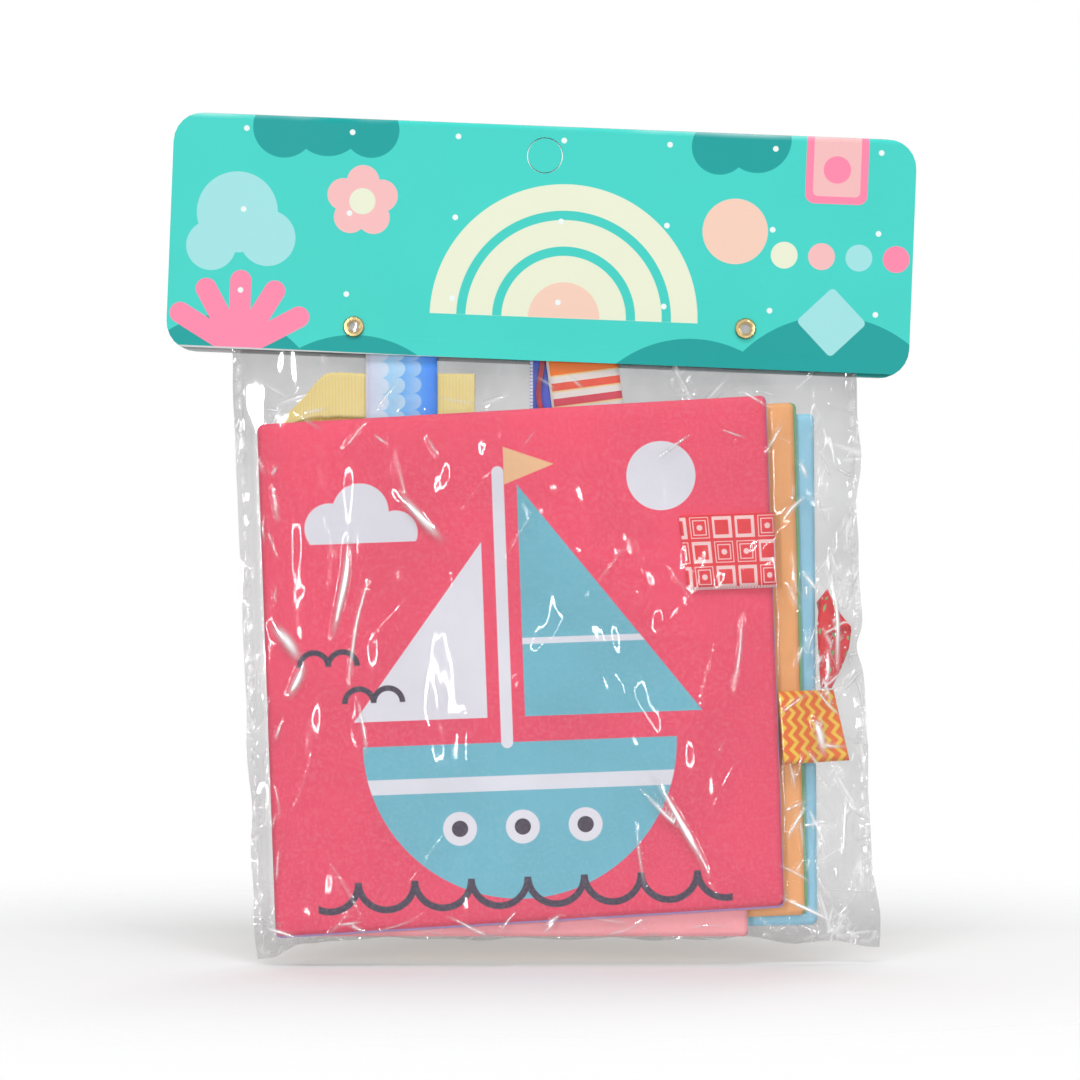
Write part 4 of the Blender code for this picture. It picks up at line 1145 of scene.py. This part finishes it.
class CLOTHBOOK_OT_card(bpy.types.Operator):
    """Print the header card and finish its brass eyelets"""

    bl_idname = "clothbook.card"
    bl_label = "Header Card"

    def execute(self, context):
        colours = settings()[1]
        card = Surface("Printed card", colours.card, 0.46)
        card.place = card.flat_place((0.0, 0.0, 0.0), CARD_TURN)
        card_print(card, colours)
        card.shade("Base Color", card.drawn)
        card.shade("Specular IOR Level", 0.22)
        front = card.ramp(card.axes(card.object_place)[1], -0.0004, 0.0)
        mouth = card.maths("MULTIPLY_ADD", card.axes(card.place)[2], 0.2, 13.2, clamp=True)
        mouth = card.maths("MULTIPLY", mouth, card.maths("SUBTRACT", 1.0, front))
        card.relief((mouth, 0.0013), (card.noise(9.0), 0.004), (card.noise(420.0, 3.0), 0.00006))
        brass = plain_surface("Brass", srgb(184, 164, 118), 0.26, 0.0001, 700.0, 1.0)
        finishes = {"header_card": card, "hang_tab_front": card, "hang_tab_back": card}
        finishes.update(eyelet_left=brass, eyelet_right=brass)
        for node, surface in finishes.items():
            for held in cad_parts[node].material_slots:
                held.material = surface.material
        return {"FINISHED"}


class CLOTHBOOK_OT_leaves(bpy.types.Operator):
    """Make the two printed cloths of each leaf"""

    bl_idname = "clothbook.leaves"
    bl_label = "Leaves"

    def execute(self, context):
        for name, draws in PRINTS.items():
            for side, facing, draw in zip(("front_cloth", "back_cloth"), (-1, 1), draws):
                surface = page_surface(f"{name} {side} print", draw)
                leaf_cloth(name, side, facing, surface, settings()[0])
        return {"FINISHED"}


class CLOTHBOOK_OT_fillings(bpy.types.Operator):
    """Make the crinkle film and the wadding inside each leaf"""

    bl_idname = "clothbook.fillings"
    bl_label = "Fillings"

    def execute(self, context):
        crinkle = plain_surface("Crinkle film", srgb(214, 218, 224), 0.25, 0.0006, 160.0)
        wadding = plain_surface("Wadding", srgb(240, 239, 236), 0.95, 0.0008, 420.0)
        for name in LEAF_NAMES:
            leaf_filling(name, "crinkle_film", -0.00075, -0.00055, crinkle)
            leaf_filling(name, "wadding", -0.00030, 0.00070, wadding)
        return {"FINISHED"}


class CLOTHBOOK_OT_spine(bpy.types.Operator):
    """Make the binding over the spine and its row of stitches"""

    bl_idname = "clothbook.spine"
    bl_label = "Spine"

    def execute(self, context):
        self.back = Vector((3 * LEAF_STAGGER, leaf_y("back_leaf"), 0.0))
        self.run = Vector((0.0, leaf_y("front_leaf"), 0.0)) - self.back
        self.outward = Vector((self.run.y, -self.run.x, 0.0)).normalized()
        self.clearance, self.pitch = 0.00095, 0.0062
        self.length = 0.965 * LEAF_HEIGHT
        self.make_binding()
        self.make_stitches()
        return {"FINISHED"}

    def make_binding(self):
        """Strip of cloth over the spine, drawn in at each stitch."""
        middle = Vector((0.0, 0.0, -0.5025 * LEAF_HEIGHT))
        stops = []
        for share, bulge in zip((-0.06, 0.2, 0.45, 0.7, 0.87), (0.0, 0.35, 0.5, 0.35, 0.0)):
            place = self.back + self.run * share + self.outward * (self.clearance + 0.0008 * bulge) + middle
            stops.append((place, Vector((0, 0, 1)), self.length))
        surface = page_surface("Spine binding", binding_print)
        route = book_route(SPINE_TOP, stops)
        made = ribbon(
            "spine_binding", "cloth", route, surface, "spine_binding", steps=3, cells=104, held="stretched"
        )
        for vert in made.data.vertices:
            drawn_in = 0.00009 * math.cos(math.tau * vert.co.z / self.pitch)
            vert.co += BOOK_DIRECTIONS @ self.outward * drawn_in

    def make_stitches(self):
        """One thread that lies on the binding and dips at the end of each stitch."""
        radius, sides = 0.00025, 8
        surface_out = self.clearance + 0.0004 + 0.000225 + LAYER + radius
        count = int(self.length / self.pitch)
        first = 0.02 * LEAF_HEIGHT + (self.length - count * self.pitch) / 2
        path = []
        for n in range(count):
            for down, rise in ((0.05, 0.0), (0.2, 0.0004), (0.42, 0.00046), (0.65, 0.0004), (0.8, 0.0)):
                place = self.back + self.run * 0.45 + self.outward * (surface_out + rise)
                path.append(BOOK_FRAME @ (place - Vector((0, 0, first + self.pitch * (n + down)))))
        shape, points = grid(len(path) - 1, sides)
        right, deep = BOOK_DIRECTIONS @ Vector((1, 0, 0)), Vector((0, 1, 0))
        for vert, along, down in points:
            turn = math.tau * (0.5 - down)
            vert.co = path[round(along * (len(path) - 1))]
            vert.co += (right * math.cos(turn) + deep * math.sin(turn)) * radius
        bmesh.ops.remove_doubles(shape, verts=shape.verts, dist=0.000005)
        bmesh.ops.holes_fill(shape, edges=shape.edges, sides=sides)
        bmesh.ops.recalc_face_normals(shape, faces=shape.faces)
        thread = plain_surface("Spine thread", srgb(214, 70, 100), 0.7, 0.0003, 900.0)
        seat(new_object("spine_stitch_thread", shape, thread), "pack", "spine_stitches")


class CLOTHBOOK_OT_top_ribbons(bpy.types.Operator):
    """Make the ribbons along the top edge, from the back leaf up into the card"""

    bl_idname = "clothbook.top_ribbons"
    bl_label = "Top Ribbons"

    def execute(self, context):
        book_across = BOOK_DIRECTIONS @ Vector((1.0, 0.0, 0.0))
        single_y = BACK_FILM_Y - 1.5 * LAYER
        loop_y, yellow_y = single_y - 3 * LAYER, single_y - LAYER
        front_y = yellow_y - 4 * LAYER

        def upright(name, path, width, surface, slot, doubled=True):
            """A ribbon as wide all along, doubled or single."""
            across, widths = [book_across] * len(path), [width] * len(path)
            route = loop_route(path, across, widths) if doubled else list(zip(path, across, widths))
            ribbon(name, "satin", route, surface, slot, steps=3, cells=10)

        yellow_z, yellow_wide = -0.0772, 0.0144
        over_yellow = yellow_z + yellow_wide / 2 + LAYER
        path = upright_path(-0.0461, -0.0461, BACK_LEAF_Y, front_y, loop_y, over_yellow)
        upright("scallop_tag", path, 0.0230, scallops(), "blue_scallop_satin")
        path = upright_path(0.0143, 0.0117, BACK_LEAF_Y, loop_y, loop_y)
        upright("striped_tag", path, 0.0230, stripes(), "striped_satin")
        royal = selvedge_satin("Royal blue satin", srgb(72, 92, 218), srgb(60, 74, 188), -3.9)
        path = upright_path(0.0, 0.0, single_y, single_y, single_y)
        upright("royal_blue_ribbon", path, 0.0096, royal, "royal_blue_satin", doubled=False)
        crimson = selvedge_satin("Dark red satin", srgb(206, 36, 56), srgb(150, 20, 42))
        bend_z = (back_leaf_top(0.0) + card_line_z(0.0, CARD_SEEN_DOWN)) / 2
        path = upright_path(-0.0009, -0.0009, BACK_LEAF_Y, loop_y, loop_y, bend_z)
        path[2].x -= 0.0012
        upright("dark_red_loop", path, 0.0016, crimson, "dark_red_satin")

        left, right = -0.0862, -0.0230
        foot = back_leaf_top(left) + LAYER
        path, widths = [], []
        for along, wide in ((0.0, 0.08), (0.14, 0.5), (0.25, 1.0), (0.45, 1.0), (0.7, 1.0), (1.0, 1.0)):
            height = mix(foot + yellow_wide / 2 * wide, yellow_z, wide)
            path.append(Vector((mix(left, right, along), yellow_y, height)))
            widths.append(yellow_wide * wide)
        route = loop_route(path, [Vector((0.0, 0.0, 1.0))] * len(path), widths)
        for n, height, wide in ((-3, -0.0796, 0.0150), (-2, -0.0838, 0.0080), (-1, -0.0882, 0.0012)):
            place, across, _ = route[n]
            route[n] = (Vector((place.x, place.y, height)), across, wide)
        ribbon("yellow_ribbon", "grosgrain", route, grosgrain(), "yellow_grosgrain", steps=5, cells=14)
        return {"FINISHED"}


class CLOTHBOOK_OT_side_ribbons(bpy.types.Operator):
    """Make the three ribbons on the free edges"""

    bl_idname = "clothbook.side_ribbons"
    bl_label = "Side Ribbons"

    def execute(self, context):
        wrap, seated, length = 0.00075, 0.0013875, 0.0287
        path = [Vector((0.0, 0.0, 0.0)), Vector((-1.5 * wrap, -seated * 0.65, 0.0))]
        path += [Vector((-length * share, -seated, 0.0)) for share in (0.1, 0.3, 0.55, 0.8, 1.0)]
        across = [leaning(degrees) for degrees in (0.0, 0.5, 1.0, 2.0, 3.2, 4.2, 5.0)]
        route = loop_route(path, across, [0.0240, 0.0236] + [0.0239] * 5)
        route = book_route(edge_hinge("front_leaf", 0.302, 0.000825, 0.0008625), route)
        ribbon("squares_tag", "satin", route, squares(), "red_squares_satin", "squares_tag")

        path, across = [], []
        for out, back in ((0.045, 0.0), (0.22, 0.17), (0.36, 0.37), (0.5, 0.58), (0.75, 0.86), (1.0, 1.0)):
            path.append(Vector((0.0202 * out, 0.0064 * back, 0.0)))
            across.append(leaning(mix(1.8, 10.7, out)))
        route = loop_route(path, across, [0.0232] * len(path))
        route = book_route(edge_hinge("front_leaf", 0.65), route)
        ribbon("chevron_tag", "satin", route, chevrons(), "orange_chevron_satin", "chevron_tag", cells=12)

        stops = []
        for out, forward, rise, wide, twist in (
            (0.7, 0.4, -5.5, 11.0, -2.0),
            (1.6, 2.2, -5.0, 11.8, -5.0),
            (4.6, 3.3, -3.3, 13.0, -17.0),
            (7.1, 3.5, -2.0, 13.8, -28.0),
            (6.5, 2.4, -4.0, 13.2, -44.0),
            (5.7, 2.0, -8.4, 11.2, -70.0),
            (5.2, 2.0, -14.8, 9.8, -86.0),
            (3.9, 2.0, -21.6, 6.8, -90.0),
            (2.4, 2.0, -27.6, 3.4, -90.0),
        ):
            stops.append((Vector((out, -forward, rise)) * MM, leaning(-twist), wide * MM))
        route, body = book_route(edge_hinge("back_leaf", 0.37), stops), "crumpled_ribbon"
        ribbon(body, "satin", route, leafy(), "red_ribbon_satin", body, steps=7, cells=12, cup=0.0006)
        return {"FINISHED"}


class CLOTHBOOK_OT_bag(bpy.types.Operator):
    """Make the bag's two films with their folds"""

    bl_idname = "clothbook.bag"
    bl_label = "Bag"

    def execute(self, context):
        film = film_surface("Front film", (0.16, 0.16, 0.17), 2.4, 0.085, 0.95, 0.7, 0.8)
        folds = creases(7, LONG_FOLDS)
        shape = film_sheet(240, 250, 0.0600, front_lay, folds, -settings()[0].crumple)
        made = new_object("bag_front_clear_film", shape, film, Vector((0.0, -1.0, 0.0)))
        seat(made, "pack", "bag_front_film")
        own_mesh(made)

        film = film_surface("Back film", (0.24, 0.24, 0.25), 1.6, 0.44, 0.15, 0.35, 1.45)
        shape = film_sheet(110, 140, 0.0130, back_lay, creases(19), 0.0005)
        made = new_object("bag_back_clear_film", shape, film, Vector((0.0, 1.0, 0.0)))
        seat(made, "pack", "bag_back_film")
        return {"FINISHED"}


class CLOTHBOOK_OT_stage(bpy.types.Operator):
    """Make the floor, the white surroundings, the lamps and the camera"""

    bl_idname = "clothbook.stage"
    bl_label = "Stage"

    def execute(self, context):
        context.scene.view_settings.view_transform = "Standard"
        self.make_world(context.scene)
        self.make_floor()
        self.make_lamps(context.scene)
        self.make_camera(context.scene)
        return {"FINISHED"}

    def make_world(self, scene):
        """White for what is seen directly or in a reflection, softer as a light."""
        world = bpy.data.worlds.new("White surroundings")
        world.use_nodes = True
        nodes, links = world.node_tree.nodes, world.node_tree.links
        ray = nodes.new("ShaderNodeLightPath")
        seen = ray.outputs["Is Camera Ray"]
        for name in ("Is Glossy Ray", "Is Transmission Ray"):
            either = nodes.new("ShaderNodeMath")
            either.operation = "MAXIMUM"
            links.new(seen, either.inputs[0])
            links.new(ray.outputs[name], either.inputs[1])
            seen = either.outputs[0]
        level = nodes.new("ShaderNodeMapRange")
        level.inputs["To Min"].default_value = 0.14
        level.inputs["To Max"].default_value = 1.0
        links.new(seen, level.inputs["Value"])
        background = nodes["Background"]
        background.inputs["Color"].default_value = (1.0, 1.0, 1.0, 1.0)
        links.new(level.outputs[0], background.inputs["Strength"])
        scene.world = world

    def make_floor(self):
        """Pale floor that fades into the white surroundings. Its grey near the bag, fading to white a
        little way off, is a painted shadow round the bag's foot that adds to the lamps' own shadow.
        """
        middle = Vector((0.0, 0.05, FLOOR_Z))
        floor = Surface("Pale floor", (0.87, 0.87, 0.875), 0.9)
        # Stadium-shaped fade round the bag's foot: the grey it leaves near the bag is a painted shadow.
        away = floor.vector("ABSOLUTE", floor.vector("SUBTRACT", floor.object_place, middle))
        away = floor.vector("MAXIMUM", floor.vector("SUBTRACT", away, (0.02, 0.0, 0.0)), (0.0, 0.0, 0.0))
        floor.shade("Alpha", floor.ramp(floor.vector("LENGTH", away), 0.03, 0.36, 1.0, 0.0))
        floor.shade("Specular IOR Level", 0.0)
        floor.relief((floor.noise(300.0), 0.00002))
        shape = bmesh.new()
        bmesh.ops.create_circle(shape, cap_ends=True, segments=64, radius=0.8)
        bmesh.ops.translate(shape, verts=shape.verts, vec=middle)
        new_object("floor", shape, floor)

    def make_lamps(self, scene):
        """Two large lamps from above, and narrow ones that make the glints on the film."""
        target = Vector((0.0, 0.0, -0.13))
        for name, place, wide, tall, power in (
            ("Front top", (0.0, -1.30, 1.90), 1.90, 0.90, 34.0),
            ("Back top", (0.0, 0.85, 2.20), 1.70, 1.30, 22.0),
            ("Window", (-0.40, -1.35, -0.01), 0.045, 0.62, 5.5),
            ("Right window", (0.50, -1.32, -0.04), 0.04, 0.56, 4.1),
            ("Left strip", (-0.95, -0.50, -0.10), 0.03, 0.60, 0.7),
            ("Right strip", (0.75, -0.55, 0.25), 0.03, 0.60, 0.7),
            ("Behind", (0.60, 1.30, 0.20), 0.50, 0.60, 5.0),
        ):
            lamp = bpy.data.lights.new(name, "AREA")
            lamp.shape = "RECTANGLE"
            lamp.size, lamp.size_y, lamp.energy = wide, tall, power
            made = bpy.data.objects.new(name, lamp)
            made.location = place
            made.rotation_euler = (target - Vector(place)).to_track_quat("-Z", "Y").to_euler()
            made.visible_glossy = "top" not in name
            scene.collection.objects.link(made)

    def make_camera(self, scene):
        """Level camera in front, as far off as in the photograph."""
        camera = bpy.data.cameras.new("Camera")
        camera.lens, camera.sensor_width = 135.0, 36.0
        camera.clip_start, camera.clip_end = 0.05, 20.0
        made = bpy.data.objects.new("Camera", camera)
        made.location = (-0.0016, -1.302, -0.1235)
        made.rotation_euler = (math.radians(90.0), 0.0, 0.0)
        scene.collection.objects.link(made)
        scene.camera = made


class CLOTHBOOK_PT_panel(bpy.types.Panel):
    """Panel that lists the sizes, the colours and the pieces"""

    bl_idname = "CLOTHBOOK_PT_panel"
    bl_label = "Cloth Book"
    bl_space_type = "VIEW_3D"
    bl_region_type = "UI"
    bl_category = "Cloth Book"

    def draw(self, context):
        for group in settings():
            for name in group.bl_rna.properties.keys():
                if name not in {"rna_type", "name"}:
                    self.layout.prop(group, name)
        for operator in OPERATORS:
            self.layout.operator(operator.bl_idname)


OPERATORS = (
    CLOTHBOOK_OT_stage,
    CLOTHBOOK_OT_card,
    CLOTHBOOK_OT_leaves,
    CLOTHBOOK_OT_fillings,
    CLOTHBOOK_OT_spine,
    CLOTHBOOK_OT_top_ribbons,
    CLOTHBOOK_OT_side_ribbons,
    CLOTHBOOK_OT_bag,
)
CLASSES = (BookSizes, BookColours, *OPERATORS, CLOTHBOOK_PT_panel)


def register():
    """Add the classes and the scene's settings."""
    for made in CLASSES:
        bpy.utils.register_class(made)
    bpy.types.Scene.cloth_book_sizes = PointerProperty(type=BookSizes)
    bpy.types.Scene.cloth_book_colours = PointerProperty(type=BookColours)


def unregister():
    """Take them away again."""
    del bpy.types.Scene.cloth_book_colours
    del bpy.types.Scene.cloth_book_sizes
    for made in reversed(CLASSES):
        bpy.utils.unregister_class(made)


def main():
    """Make every piece in order."""
    register()
    for operator in OPERATORS:
        group, name = operator.bl_idname.split(".")
        getattr(getattr(bpy.ops, group), name)()
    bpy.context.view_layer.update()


if __name__ == "__main__":
    main()
